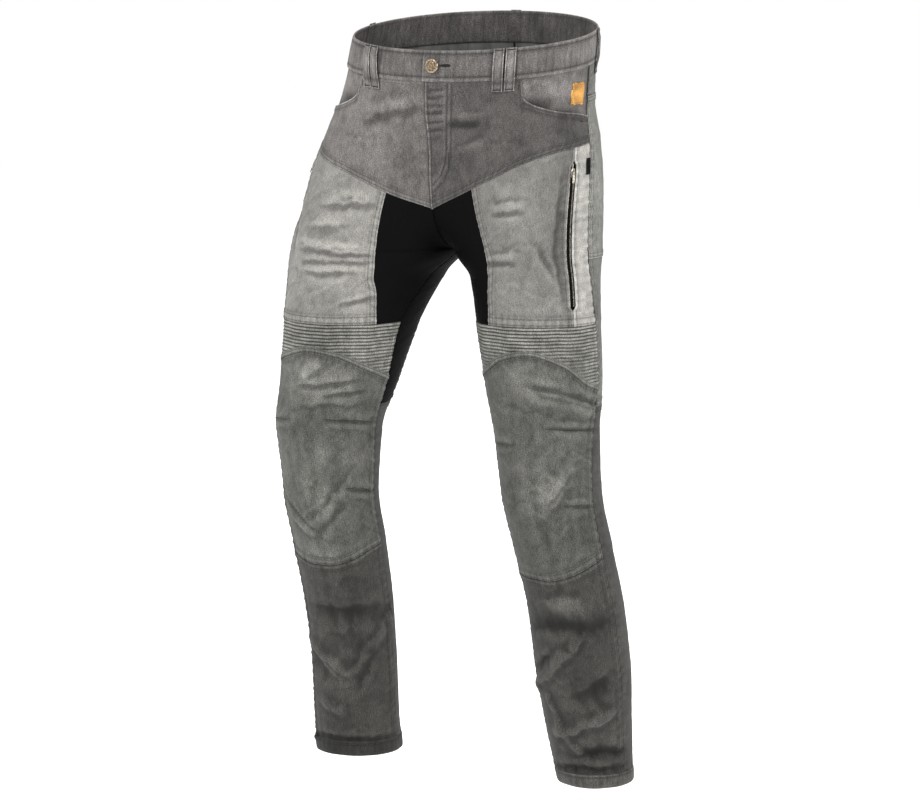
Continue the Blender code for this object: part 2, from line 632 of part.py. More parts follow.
def build_waistband():
    """One band from the buttoned left end round the back to the right end beneath it."""
    left_u = np.concatenate([[BAND_END_U, -0.010, 0.0, 0.012, 0.024], np.linspace(0.05, 1, 29)])
    right_u = np.concatenate([np.linspace(0.967, 0.05, 28), [0.024, GAP_IN_U]])
    levels = np.linspace(0.0, WAIST_SEAM + SEAM_HALF_GAP, 4)
    left = np.meshgrid(left_u, levels)
    right = np.meshgrid(right_u, levels)
    lap = (BAND_WALL + LAYER_GAP) * smooth_step(np.clip(1 - left[0] / LAP_RAMP, 0, 1))
    left_out, right_out = BAND_RAISE + lap, BAND_RAISE * np.ones(right[0].shape)
    outer = np.concatenate(
        [cloth(LEFT, *left, left_out), cloth(RIGHT, *right, right_out)], axis=1
    )
    inner = np.concatenate(
        [
            cloth(LEFT, *left, left_out - BAND_WALL),
            cloth(RIGHT, *right, right_out - BAND_WALL),
        ],
        axis=1,
    )
    add_wall("waistband", outer, inner, BAND_GREY)


def build_belt_loops():
    """Loops of folded denim that stand clear of the waistband."""
    for side, middle, name in BELT_LOOPS:
        share = np.array([row[0] for row in LOOP_PROFILE])
        stand = np.array([row[1] for row in LOOP_PROFILE])
        level = LOOP_TOP - share * LOOP_LENGTH
        u = middle + np.linspace(-0.5, 0.5, 3) * LOOP_WIDTH / CLOTH_PER_U
        u, level = np.meshgrid(u, level)
        out = stand[:, None] * np.ones(u.shape) + LOOP_WALL
        add_panel(name, side, u, level, LOOP_GREY, out, LOOP_WALL)
    share = np.array([row[0] for row in LOOP_PROFILE])
    stand = np.array([row[1] for row in LOOP_PROFILE])
    reach = LOOP_WIDTH / 2 / CLOTH_PER_U
    columns = ((LEFT, 1 - reach), (LEFT, 1.0), (RIGHT, 1 - reach))
    level = LOOP_TOP - share * LOOP_LENGTH
    outer = [cloth(s, np.full(level.shape, u), level, stand + LOOP_WALL) for s, u in columns]
    inner = [cloth(s, np.full(level.shape, u), level, stand) for s, u in columns]
    add_wall("belt_loop_back", np.stack(outer, 1), np.stack(inner, 1), LOOP_GREY)


def build_zip(side):
    """Tape, slider and pull tab of one thigh pocket. The pull hangs from the slider."""
    name = SIDE_NAME[side]
    level = np.linspace(ZIP_TOP + 0.006, ZIP_BOTTOM - 0.006, 13)
    share = np.linspace(-0.5, 0.5, 3)
    share, level = np.meshgrid(share, level)
    u = curve(ZIP_SEAM, level) + share * ZIP_TAPE_WIDTH / CLOTH_PER_U
    add_panel(
        "zip_tape_" + name, side, u, level, INSERT_BLACK, -CLOTH - UNDER_GAP, ZIP_TAPE_WALL
    )
    top = SLIDER_LEVEL
    frame = frame_on_cloth(side, float(curve(ZIP_SEAM, np.array(top))), top, 0.0)
    add_box(
        "zip_slider_" + name, (SLIDER_WIDTH, SLIDER_LENGTH, SLIDER_HEIGHT),
        (0, 0, SLIDER_BASE + SLIDER_HEIGHT / 2), frame, 0.0007, BRASS, 1.0,
    )
    hinge = frame @ Matrix.Translation((0, PULL_HINGE_UP, PULL_HINGE_OUT))
    add_box(
        "zip_pull_" + name, (PULL_WIDTH, PULL_LENGTH, PULL_THICK),
        (0, PULL_PAST_HINGE - PULL_LENGTH / 2, 0), hinge, 0.0004, BRASS, 1.0,
    )


def build_button():
    """The waist button, turned about its own axis and lying on the band's lapped end."""
    frame = frame_on_cloth(LEFT, BUTTON_U, BUTTON_LEVEL, BUTTON_OFFSET)
    mesh = bpy.data.meshes.new("button")
    profile = [(radius * BUTTON_RADIUS, 0.0, height) for radius, height in BUTTON_PROFILE]
    edges = [(i, i + 1) for i in range(len(profile) - 1)]
    mesh.from_pydata(profile, edges, [])
    button = add_object("button", mesh, BRASS, 0.45, 1.0)
    button.matrix_world = frame
    turned = button.modifiers.new("turned", "SCREW")
    turned.steps = turned.render_steps = 18
    turned.use_merge_vertices, turned.merge_threshold = True, 0.00001


def build_trims():
    """The plain patch on the left pocket facing and the side tab."""
    u = BADGE_U + np.linspace(-0.5, 0.5, 5) * BADGE_WIDTH / CLOTH_PER_U
    level = BADGE_LEVEL - np.linspace(-0.5, 0.5, 4) * BADGE_HEIGHT
    u, level = np.meshgrid(u, level)
    out = -CLOTH - UNDER_GAP + LAYER_GAP + BADGE_THICK
    add_panel("pocket_patch", LEFT, u, level, PATCH_TAN, out, BADGE_THICK)
    u = TAB_U + np.linspace(-0.5, 0.5, 3) * TAB_WIDTH / CLOTH_PER_U
    level = TAB_LEVEL - np.linspace(-0.5, 0.5, 4) * TAB_HEIGHT
    u, level = np.meshgrid(u, level)
    add_panel("side_tab", LEFT, u, level, INSERT_BLACK, LAYER_GAP + TAB_THICK, TAB_THICK)


for old in list(bpy.data.objects):
    bpy.data.objects.remove(old, do_unlink=True)
TROUSERS = bpy.data.collections.new("motorcycle_trousers")
bpy.context.scene.collection.children.link(TROUSERS)

build_waistband()
for leg_side in (LEFT, RIGHT):
    build_torso(leg_side)
    build_lower_leg(leg_side)
    build_zip(leg_side)
build_belt_loops()
build_button()
build_trims()
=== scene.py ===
"""Motorcycle trousers in faded grey denim, filled out as if worn, for the studio render.

The cloth of each side is one surface in two numbers. u runs round the side from the centre
front or the inseam (0) past the outseam (about 0.5) to the centre back or the inseam (1),
and level runs down from the waist's top edge. Panels are cut from that surface between seam
curves, and folds, seam ridges and ribs move their points out along its normal.
"""

import logging
import math
from collections.abc import Callable, Sequence
from dataclasses import dataclass, field
from enum import Enum

import bmesh
import bpy
import numpy as np
from mathutils import Matrix, Vector

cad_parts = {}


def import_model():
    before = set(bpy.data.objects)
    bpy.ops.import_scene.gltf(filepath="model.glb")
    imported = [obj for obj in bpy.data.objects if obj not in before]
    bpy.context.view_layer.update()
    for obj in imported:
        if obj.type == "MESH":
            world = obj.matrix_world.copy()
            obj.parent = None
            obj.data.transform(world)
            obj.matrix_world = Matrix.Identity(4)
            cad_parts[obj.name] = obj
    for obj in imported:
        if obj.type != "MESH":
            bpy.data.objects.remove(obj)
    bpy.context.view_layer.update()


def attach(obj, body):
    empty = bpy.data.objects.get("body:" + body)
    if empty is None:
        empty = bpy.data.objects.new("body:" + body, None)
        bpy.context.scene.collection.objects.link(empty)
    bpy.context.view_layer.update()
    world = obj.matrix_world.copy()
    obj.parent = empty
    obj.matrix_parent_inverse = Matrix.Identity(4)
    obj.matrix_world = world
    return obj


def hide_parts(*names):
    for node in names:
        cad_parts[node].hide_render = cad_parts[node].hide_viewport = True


log = logging.getLogger("trousers")
Curve = Callable[[np.ndarray], np.ndarray]
Table = Sequence[tuple[float, ...]]

CROTCH = -0.293
RISE_Y = -0.022
JOIN_HEIGHT = 0.13
JOIN_POWER = 2.2
WAIST_SHAPE_ENDS = -0.060
TILT_REACH = 0.12
CLOTH = 0.0015
CENTRE_CLEARANCE = 0.0002
UNDER = 0.0024
WAIST_SEAM = -0.044
YOKE_TIP = -0.233
RIB_TOP = -0.388
KNEE_BACK_SEAM = -0.500
HEM_HEIGHT = 0.020
LAP_RAMP = 0.035


class Side(Enum):
    """The wearer's side that a piece is on."""

    LEFT = 1
    RIGHT = -1

    @property
    def label(self) -> str:
        """The side's name as it stands in piece names."""
        return self.name.lower()


class Edge(Enum):
    """The four borders of a panel."""

    START = "start"
    END = "end"
    TOP = "top"
    BOTTOM = "bottom"


# level, left half, right half, front, back, tilt, sway of the waist and hips
TORSO_COLUMNS = ("level", "left_half", "right_half", "front", "back", "tilt", "sway")
TORSO: Table = (
    (0.000, 0.176, 0.178, 0.114, 0.120, 0.024, 0.000),
    (-0.044, 0.176, 0.186, 0.114, 0.124, 0.022, -0.003),
    (-0.100, 0.175, 0.200, 0.112, 0.132, 0.016, -0.006),
    (-0.150, 0.183, 0.216, 0.110, 0.142, 0.010, -0.009),
    (-0.200, 0.190, 0.226, 0.106, 0.146, 0.004, -0.011),
    (-0.293, 0.196, 0.230, 0.092, 0.132, 0.000, -0.012),
)

# One leg, level by level: its centre, its four reaches and its turn in degrees
LEG_COLUMNS = ("level", "x", "y", "outer", "inner", "front", "back", "turn")
LEG: dict[Side, Table] = {
    Side.LEFT: (
        (0.000, 0.080, 0.000, 0.094, 0.090, 0.108, 0.112, 0),
        (-0.100, 0.090, -0.006, 0.096, 0.100, 0.102, 0.136, 0),
        (-0.200, 0.098, -0.016, 0.092, 0.100, 0.092, 0.148, 0),
        (-0.293, 0.104, RISE_Y, 0.091, 0.104, 0.080, 0.138, 0),
        (-0.330, 0.108, -0.0235, 0.090, 0.081, 0.0765, 0.1255, 3),
        (-0.400, 0.116, -0.022, 0.087, 0.078, 0.080, 0.110, 8),
        (-0.470, 0.125, -0.018, 0.081, 0.077, 0.085, 0.091, 11),
        (-0.540, 0.133, -0.020, 0.072, 0.070, 0.084, 0.076, 12),
        (-0.620, 0.141, -0.020, 0.068, 0.068, 0.078, 0.073, 12),
        (-0.700, 0.153, -0.008, 0.067, 0.067, 0.072, 0.074, 12),
        (-0.780, 0.162, 0.012, 0.066, 0.066, 0.068, 0.074, 12),
        (-0.860, 0.166, 0.026, 0.066, 0.066, 0.067, 0.072, 12),
        (-0.940, 0.168, 0.040, 0.061, 0.061, 0.061, 0.064, 12),
        (-1.037, 0.172, 0.056, 0.053, 0.052, 0.055, 0.054, 12),
    ),
    Side.RIGHT: (
        (0.000, 0.080, 0.000, 0.095, 0.090, 0.110, 0.112, 0),
        (-0.100, 0.095, -0.010, 0.108, 0.100, 0.110, 0.132, 0),
        (-0.200, 0.108, -0.014, 0.120, 0.108, 0.124, 0.136, 0),
        (-0.293, 0.116, RISE_Y, 0.122, 0.116, 0.147, 0.123, 0),
        (-0.330, 0.122, -0.045, 0.110, 0.098, 0.135, 0.115, 0),
        (-0.400, 0.125, -0.096, 0.092, 0.085, 0.104, 0.102, 2),
        (-0.470, 0.132, -0.116, 0.083, 0.077, 0.091, 0.084, 6),
        (-0.540, 0.141, -0.130, 0.073, 0.069, 0.084, 0.074, 10),
        (-0.620, 0.141, -0.130, 0.065, 0.064, 0.074, 0.069, 12),
        (-0.700, 0.139, -0.112, 0.063, 0.063, 0.069, 0.071, 12),
        (-0.780, 0.139, -0.090, 0.061, 0.061, 0.064, 0.070, 12),
        (-0.860, 0.139, -0.076, 0.059, 0.059, 0.061, 0.068, 12),
        (-0.940, 0.140, -0.068, 0.059, 0.059, 0.060, 0.066, 12),
        (-1.000, 0.138, -0.064, 0.060, 0.060, 0.060, 0.062, 12),
    ),
}
HEM_LEVEL = {Side.LEFT: -1.037, Side.RIGHT: -1.000}

# Seams
POCKET_MOUTH: Table = (
    (0.2305, -0.045), (0.2345, -0.060), (0.240, -0.069), (0.262, -0.079),
    (0.310, -0.089), (0.370, -0.097), (0.440, -0.103), (0.500, -0.110),
)
YOKE_SEAM: dict[Side, Table] = {
    Side.LEFT: (
        (0.000, YOKE_TIP), (0.100, -0.211), (0.190, -0.188), (0.300, -0.160),
        (0.370, -0.151), (0.430, -0.148), (0.500, -0.145),
    ),
    Side.RIGHT: (
        (0.000, YOKE_TIP), (0.100, -0.216), (0.190, -0.196), (0.300, -0.176),
        (0.430, -0.160), (0.500, -0.155),
    ),
}
FLY_EDGE: Table = (
    (0.000, -0.025), (-0.044, -0.018), (-0.090, -0.014), (-0.125, -0.006), (-0.160, -0.001),
    (YOKE_TIP, 0.000),
)
INSERT_EDGE: dict[Side, Table] = {
    Side.LEFT: (
        (-0.200, 0.130), (-0.236, 0.155), (-0.270, 0.186), (-0.280, 0.196), (-0.288, 0.204),
        (-0.2925, 0.211), (-0.2935, 0.2144), (-0.298, 0.2143), (-0.305, 0.2115),
        (-0.315, 0.204), (-0.330, 0.1915), (-0.345, 0.182), (-0.388, 0.165),
    ),
    Side.RIGHT: (
        (-0.200, 0.117), (-0.236, 0.134), (-0.270, 0.143), (-0.280, 0.146), (-0.288, 0.153),
        (-0.2925, 0.1625), (-0.2935, 0.168), (-0.298, 0.167), (-0.305, 0.163),
        (-0.315, 0.155), (-0.330, 0.1434), (-0.345, 0.130), (-0.388, 0.108),
    ),
}
ZIP_SEAM: Table = ((-0.148, 0.424), (-0.200, 0.424), (-0.280, 0.423), (-0.388, 0.403))
OUTSEAM: Table = (
    (-0.044, 0.500), (-0.300, 0.500), (-0.405, 0.495), (-0.500, 0.470), (-0.560, 0.450),
    (-0.630, 0.440), (-0.750, 0.430), (-1.040, 0.430),
)
INSEAM: Table = (
    (CROTCH, 0.000), (-0.345, 0.025), (-0.388, 0.042), (-0.470, 0.035),
    (-0.600, 0.025), (-1.040, 0.020),
)
KNEE_ARCH: dict[Side, Table] = {
    Side.LEFT: (
        (0.030, -0.466), (0.121, -0.451), (0.197, -0.433), (0.270, -0.426), (0.350, -0.440),
        (0.426, -0.469), (0.500, -0.482),
    ),
    Side.RIGHT: (
        (0.030, -0.468), (0.121, -0.448), (0.197, -0.431), (0.270, -0.425), (0.350, -0.4345),
        (0.426, -0.446), (0.500, -0.460),
    ),
}
KNEE_FOOT: dict[Side, Table] = {
    Side.LEFT: (
        (0.020, -0.7345), (0.090, -0.7345), (0.160, -0.7340), (0.231, -0.7335),
        (0.301, -0.7270), (0.372, -0.7150), (0.440, -0.7030),
    ),
    Side.RIGHT: (
        (0.020, -0.6950), (0.090, -0.7020), (0.160, -0.7140), (0.231, -0.7200),
        (0.301, -0.7205), (0.372, -0.7145), (0.440, -0.7060),
    ),
}
BACK_YOKE_SEAM: Table = ((0.500, -0.084), (0.750, -0.094), (1.000, -0.116))
SEAT_FOOT: Table = ((0.495, -0.300), (0.700, -0.306), (0.850, -0.298), (1.000, -0.275))
INSERT_BACK_EDGE: Table = (
    (-0.298, 0.850), (-0.400, 0.900), (-0.430, 0.940), (-0.500, 0.940),
)
ZIP_TOP, ZIP_BOTTOM, ZIP_END, ZIP_GAPE = -0.165, -0.368, 0.008, 0.0100

# Width, length and area that each panel was cut to, as it shows: left, then right
CUTS: dict[str, tuple[tuple[float, float, float], tuple[float, float, float]]] = {
    "front_yoke": ((0.272, 0.175, 0.0253), (0.291, 0.174, 0.0304)),
    "pocket_facing": ((0.128, 0.083, 0.0069), (0.144, 0.087, 0.0076)),
    "thigh_front": ((0.157, 0.244, 0.0272), (0.199, 0.259, 0.0402)),
    "thigh_side": ((0.048, 0.248, 0.0089), (0.067, 0.266, 0.0129)),
    "front_insert": ((0.122, 0.216, 0.0146), (0.140, 0.243, 0.0150)),
    "back_insert": ((0.130, 0.337, 0.0199), (0.122, 0.370, 0.0213)),
    "back_yoke": ((0.246, 0.083, 0.0145), (0.260, 0.083, 0.0154)),
    "seat": ((0.319, 0.246, 0.0613), (0.343, 0.249, 0.0675)),
    "thigh_back": ((0.255, 0.234, 0.0488), (0.260, 0.274, 0.0559)),
    "ribbed_panel": ((0.259, 0.105, 0.0171), (0.283, 0.093, 0.0175)),
    "knee_panel": ((0.250, 0.314, 0.0580), (0.255, 0.307, 0.0563)),
    "shin_front": ((0.179, 0.328, 0.0510), (0.170, 0.299, 0.0442)),
    "calf_back": ((0.287, 0.541, 0.1337), (0.285, 0.503, 0.1205)),
}


def column(table: Table, names: tuple[str, ...], name: str, level: np.ndarray) -> np.ndarray:
    """Reads a column of a table at any level, on a monotone cubic through its rows.

    Each pair of rows is joined by a Hermite cubic whose end slopes are the weighted harmonic
    means of the neighbouring slopes, so the curve never overshoots a row.

    Args:
        table: Rows whose first value falls from row to row.
        names: The names of the columns.
        name: The column to read.
        level: Where to read it.

    Returns:
        The column's values there.
    """
    rows = np.array(table, float)
    down, value = -rows[:, 0], rows[:, names.index(name)]
    step = np.diff(down)
    slope = np.diff(value) / step
    tangent = np.zeros_like(value)
    tangent[0], tangent[-1] = slope[0], slope[-1]
    before, after = slope[:-1], slope[1:]
    turning = before * after <= 0
    weight_a, weight_b = 2 * step[1:] + step[:-1], step[1:] + 2 * step[:-1]
    mean = (weight_a + weight_b) / (
        weight_a / np.where(turning, 1.0, before) + weight_b / np.where(turning, 1.0, after)
    )
    tangent[1:-1] = np.where(turning, 0.0, mean)
    wanted = -np.asarray(level, float)
    i = np.clip(np.searchsorted(down, wanted) - 1, 0, len(down) - 2)
    t = np.clip((wanted - down[i]) / step[i], 0, 1)
    return (
        (1 + 2 * t) * (1 - t) ** 2 * value[i]
        + t * (1 - t) ** 2 * step[i] * tangent[i]
        + t**2 * (3 - 2 * t) * value[i + 1]
        + t**2 * (t - 1) * step[i] * tangent[i + 1]
    )


def seam(table: Table, shift: float = 0.0) -> Curve:
    """Turns a seam's table into a curve, moved by shift."""
    rows = sorted(table, key=lambda row: -row[0])

    def read(at: np.ndarray) -> np.ndarray:
        """Reads the seam at any place along it."""
        inside = np.clip(at, rows[-1][0], rows[0][0])
        return column(rows, ("at", "value"), "value", inside) + shift

    return read


def constant(value: float) -> Curve:
    """A seam that is level or upright."""
    return lambda at: np.full(np.shape(at), float(value))


def smooth_step(value: np.ndarray) -> np.ndarray:
    """Rises from 0 to 1 with level ends."""
    value = np.clip(value, 0, 1)
    return value * value * (3 - 2 * value)


def wander(at: np.ndarray, phase: float) -> np.ndarray:
    """A smooth irregular wave between about -1 and 1: three sines of unlike lengths."""
    return (
        0.5 * np.sin(at + phase)
        + 0.3 * np.sin(1.71 * at + 2.3 * phase + 1.0)
        + 0.2 * np.sin(2.93 * at + 3.7 * phase + 2.0)
    )


def crumple(x: np.ndarray, y: np.ndarray, phase: float) -> np.ndarray:
    """Small drag lines of cloth in wear, between about -1 and 1.

    Thin ridges (1 - |sin|) ** 3 run along bent lines at two slants, each shown only where a
    slow wave lets it, and a third set is turned over to make hollows.

    Args:
        x: Place across the flat cloth in metres.
        y: Place up the flat cloth in metres.
        phase: Start of the waves, so that each panel has its own.

    Returns:
        Height at each point, without unit.
    """
    total = np.zeros(np.shape(x))
    for number, (slant, spacing, sign) in enumerate(
        ((0.22, 0.046, 1.0), (-0.34, 0.038, 0.8), (0.05, 0.060, -1.0), (-0.12, 0.027, -0.6))
    ):
        own = phase + 1.3 * number
        bent = y + slant * x + 0.010 * wander(x * 62 + y * 21, own)
        bent = bent + 0.0035 * wander(x * 170 - y * 90, own + 2)
        line = (1 - np.abs(np.sin(np.pi * bent / spacing + own))) ** 4
        shown = smooth_step(
            0.30 + 0.9 * wander(x * 34 + 1.9 * number, own) * wander(y * 31 + x * 9, own + 3)
        )
        total = total + sign * line * shown
    return total


def linear(grey: np.ndarray | float) -> np.ndarray:
    """Turns a screen grey from 0 to 255 into linear light."""
    share = np.asarray(grey, float) / 255
    return np.where(share <= 0.04045, share / 12.92, ((share + 0.055) / 1.055) ** 2.4)


@dataclass(frozen=True)
class Crease:
    """One fold line in the cloth: a bell-shaped ridge or hollow along a bowed line.

    start and end are (u, level). width is the bell's half width and lift its height, both in
    metres, and a hollow's lift is negative. bow bends the line's middle down by so many
    metres. edge above 1 makes the bell's crest sharper.
    """

    start: tuple[float, float]
    end: tuple[float, float]
    width: float
    lift: float
    bow: float = 0.0
    edge: float = 1.0

    def height(self, across: np.ndarray, level: np.ndarray, scale: np.ndarray) -> np.ndarray:
        """Height at each point: lift times exp(-(d / width) ** (2 / edge)), faded at the ends
        taller on the shins and lower at the back.

        The line wavers, and a hollow is steep below and soft above, a ridge the other way.

        Args:
            across: u at each point.
            level: Level at each point.
            scale: Metres of cloth to one unit of u at each point.

        Returns:
            The crease's height in metres.
        """
        run_x = (self.end[0] - self.start[0]) * scale
        run_y = self.end[1] - self.start[1]
        at_x = (across - self.start[0]) * scale
        at_y = level - self.start[1]
        length = np.sqrt(run_x**2 + run_y**2)
        along = (at_x * run_x + at_y * run_y) / length**2
        phase = 40 * self.start[0] + 90 * self.start[1]
        place = along * np.minimum(length, 0.2)
        bend = self.bow * 4 * np.clip(along, 0, 1) * (1 - np.clip(along, 0, 1))
        loose = min(self.width, 0.009)
        bend = bend + 0.16 * loose * wander(place * 190, phase)
        bend = bend + 0.34 * loose * wander(place * 70, phase + 1)
        aside = (at_y * run_x - at_x * run_y) / length + bend
        reach = self.width * (1.0 + 0.22 * wander(place * 110, phase + 2))
        reach = reach * np.where((aside > 0) == (self.lift < 0), 1.45, 0.62)
        fade = smooth_step((along + 0.16) / 0.55) * smooth_step((1.16 - along) / 0.55)
        fade = fade * (0.86 + 0.24 * wander(place * 90, phase + 3))
        bell = np.exp(-np.abs(aside / reach) ** (2 / self.edge))
        share = 1.3 + 0.7 * smooth_step((-0.72 - level) / 0.02)
        share = share * (0.55 if self.start[0] > 0.55 else 1.0)
        return share * self.lift * bell * fade


@dataclass
class ClothSurface:
    """The base surface of one side, with its folds."""

    side: Side
    creases: Sequence[Crease] = ()

    def metres_per_u(self, level: np.ndarray) -> np.ndarray:
        """Cloth to one unit of u: the leg's girth below the crotch, half the hips' above."""
        reach = sum(
            column(LEG[self.side], LEG_COLUMNS, name, level)
            for name in ("outer", "inner", "front", "back")
        )
        leg = reach * np.pi / 2
        hips = 0.46 + 0.16 * smooth_step(-np.asarray(level) / 0.2)
        return hips + (leg - hips) * smooth_step((CROTCH + 0.03 - level) / 0.06)

    def half(self, side: Side, u: np.ndarray, level: np.ndarray) -> np.ndarray:
        """Points of one side. Four quarter ellipses make the leg; above the crotch the inner
        two run to the centre seams, and towards the waist all turn into half an ellipse.

        Args:
            side: The side whose surface is wanted.
            u: Place round the side.
            level: Place down the side.

        Returns:
            Points in metres, with x, y and z last.
        """
        u = np.where(level < CROTCH, u % 1.0, np.clip(u, 0, 1))
        leg = {name: column(LEG[side], LEG_COLUMNS, name, level) for name in LEG_COLUMNS[1:]}
        torso = {
            name: column(TORSO, TORSO_COLUMNS, name, level) for name in TORSO_COLUMNS[1:]
        }
        angle = (4 * u - 1) * np.pi / 2
        sine, cosine = np.sin(angle), np.cos(angle)
        local_x = np.where(sine > 0, leg["outer"], leg["inner"]) * sine
        local_y = -np.where(cosine > 0, leg["front"], leg["back"]) * cosine
        turn = np.radians(leg["turn"]) * side.value
        leg_x = leg["x"] + local_x * np.cos(turn) - local_y * np.sin(turn)
        leg_y = leg["y"] + local_x * np.sin(turn) + local_y * np.cos(turn)
        join = np.clip(1 - (level - CROTCH) / JOIN_HEIGHT, 0, 1) ** JOIN_POWER
        reach = np.sqrt(1 - join**2)
        is_front = u < 0.5
        seam_y = np.where(
            is_front,
            RISE_Y - (torso["front"] + RISE_Y) * reach,
            RISE_Y + (torso["back"] - RISE_Y) * reach,
        )
        widest_y = np.where(is_front, leg["y"] - leg["front"], leg["y"] + leg["back"])
        share = np.where(is_front, np.clip(1 - 4 * u, 0, 1), np.clip(4 * u - 3, 0, 1))
        arc = np.arcsin(np.clip(join, 0.001, 1))
        run = np.sin(share * arc) / np.sin(arc)
        round_bow = (1 - np.cos(share * arc)) / (1 - np.cos(arc))
        bow = (1 - join) * smooth_step(share) + join * round_bow
        inner = (share > 0) & (level > CROTCH)
        leg_x = np.where(inner, leg["x"] * (1 - run), leg_x)
        leg_y = np.where(inner, widest_y + (seam_y - widest_y) * bow, leg_y)
        psi = u * np.pi
        half = torso["left_half" if side is Side.LEFT else "right_half"]
        waist_x = half * np.sin(psi)
        waist_y = -np.where(is_front, torso["front"], torso["back"]) * np.cos(psi)
        thigh = smooth_step((WAIST_SHAPE_ENDS - level) / (WAIST_SHAPE_ENDS - CROTCH))
        x = waist_x * (1 - thigh) + leg_x * thigh + CENTRE_CLEARANCE
        y = waist_y * (1 - thigh) + leg_y * thigh
        z = level + torso["tilt"] * np.clip(y / TILT_REACH, -1.2, 1.2)
        return np.stack([side.value * x + torso["sway"], y, z], -1)

    def base(self, u: np.ndarray, level: np.ndarray) -> np.ndarray:
        """The surface without folds, running on past the centre front onto the other side."""
        u, level = np.broadcast_arrays(np.asarray(u, float), np.asarray(level, float))
        other = Side.RIGHT if self.side is Side.LEFT else Side.LEFT
        over = (u < 0) & (level > CROTCH)
        across = self.half(other, np.where(over, -u, 0.1), level)
        return np.where(over[..., None], across, self.half(self.side, u, level))

    def normal(self, u: np.ndarray, level: np.ndarray) -> np.ndarray:
        """Outward unit normals: the cross product of the surface's two slopes."""
        u, level = np.broadcast_arrays(np.asarray(u, float), np.asarray(level, float))
        step_u, step_level = 0.004, 0.002
        high_u = np.where(level > CROTCH, np.minimum(u + step_u, 1), u + step_u)
        round_way = self.base(high_u, level) - self.base(u - step_u, level)
        down_way = self.base(u, level - step_level) - self.base(u, level + step_level)
        direction = np.cross(round_way, down_way) * -self.side.value
        size = np.linalg.norm(direction, axis=-1, keepdims=True)
        return direction / np.maximum(size, 1e-12)

    def fold(self, u: np.ndarray, level: np.ndarray) -> np.ndarray:
        """How far the folds move the cloth out: the sum of the creases' heights."""
        u, level = np.broadcast_arrays(np.asarray(u, float), np.asarray(level, float))
        scale = self.metres_per_u(level)
        total = np.zeros(u.shape)
        for crease in self.creases:
            middle = (crease.start[0] + crease.end[0]) / 2
            away = u - middle
            away = np.where(level < CROTCH, (away + 0.5) % 1 - 0.5, away)
            total += crease.height(middle + away, level, scale)
        return total

    def cloth(
        self, u: np.ndarray, level: np.ndarray, offset: np.ndarray | float = 0.0
    ) -> np.ndarray:
        """Points on the folded cloth, moved out along the normal by offset."""
        out = self.fold(u, level) + offset
        return self.base(u, level) + self.normal(u, level) * out[..., None]


@dataclass(frozen=True)
class Fade:
    """A soft spot of the tone, paler or darker by gain: 1 + gain * exp(-d ** 2), with d the
    distance from its middle in reaches of u and of level. Spots stand for the wash and also for
    painted light and shade: highlights on fold ridges, shade in hollows, shadows under edges."""

    at: tuple[float, float]
    reach: tuple[float, float]
    gain: float

    def factor(self, u: np.ndarray, level: np.ndarray) -> np.ndarray:
        """The spot's factor on the tone at each point."""
        across = (u - self.at[0]) / self.reach[0]
        down = (level - self.at[1]) / self.reach[1]
        return 1 + self.gain * np.exp(-(across**2) - down**2)


@dataclass(frozen=True)
class Wash:
    """A panel's tone: its plain grey, 0 to 255 on a screen, and its spots of wash and of painted light and
    shade.
    """

    grey: float
    fades: tuple[Fade, ...] = ()

    def read(self, u: np.ndarray, level: np.ndarray) -> np.ndarray:
        """Linear light at each point: the plain grey times every fade's factor."""
        made = np.full(np.shape(u), float(linear(self.grey)))
        for fade in self.fades:
            made = made * fade.factor(u, level)
        return made


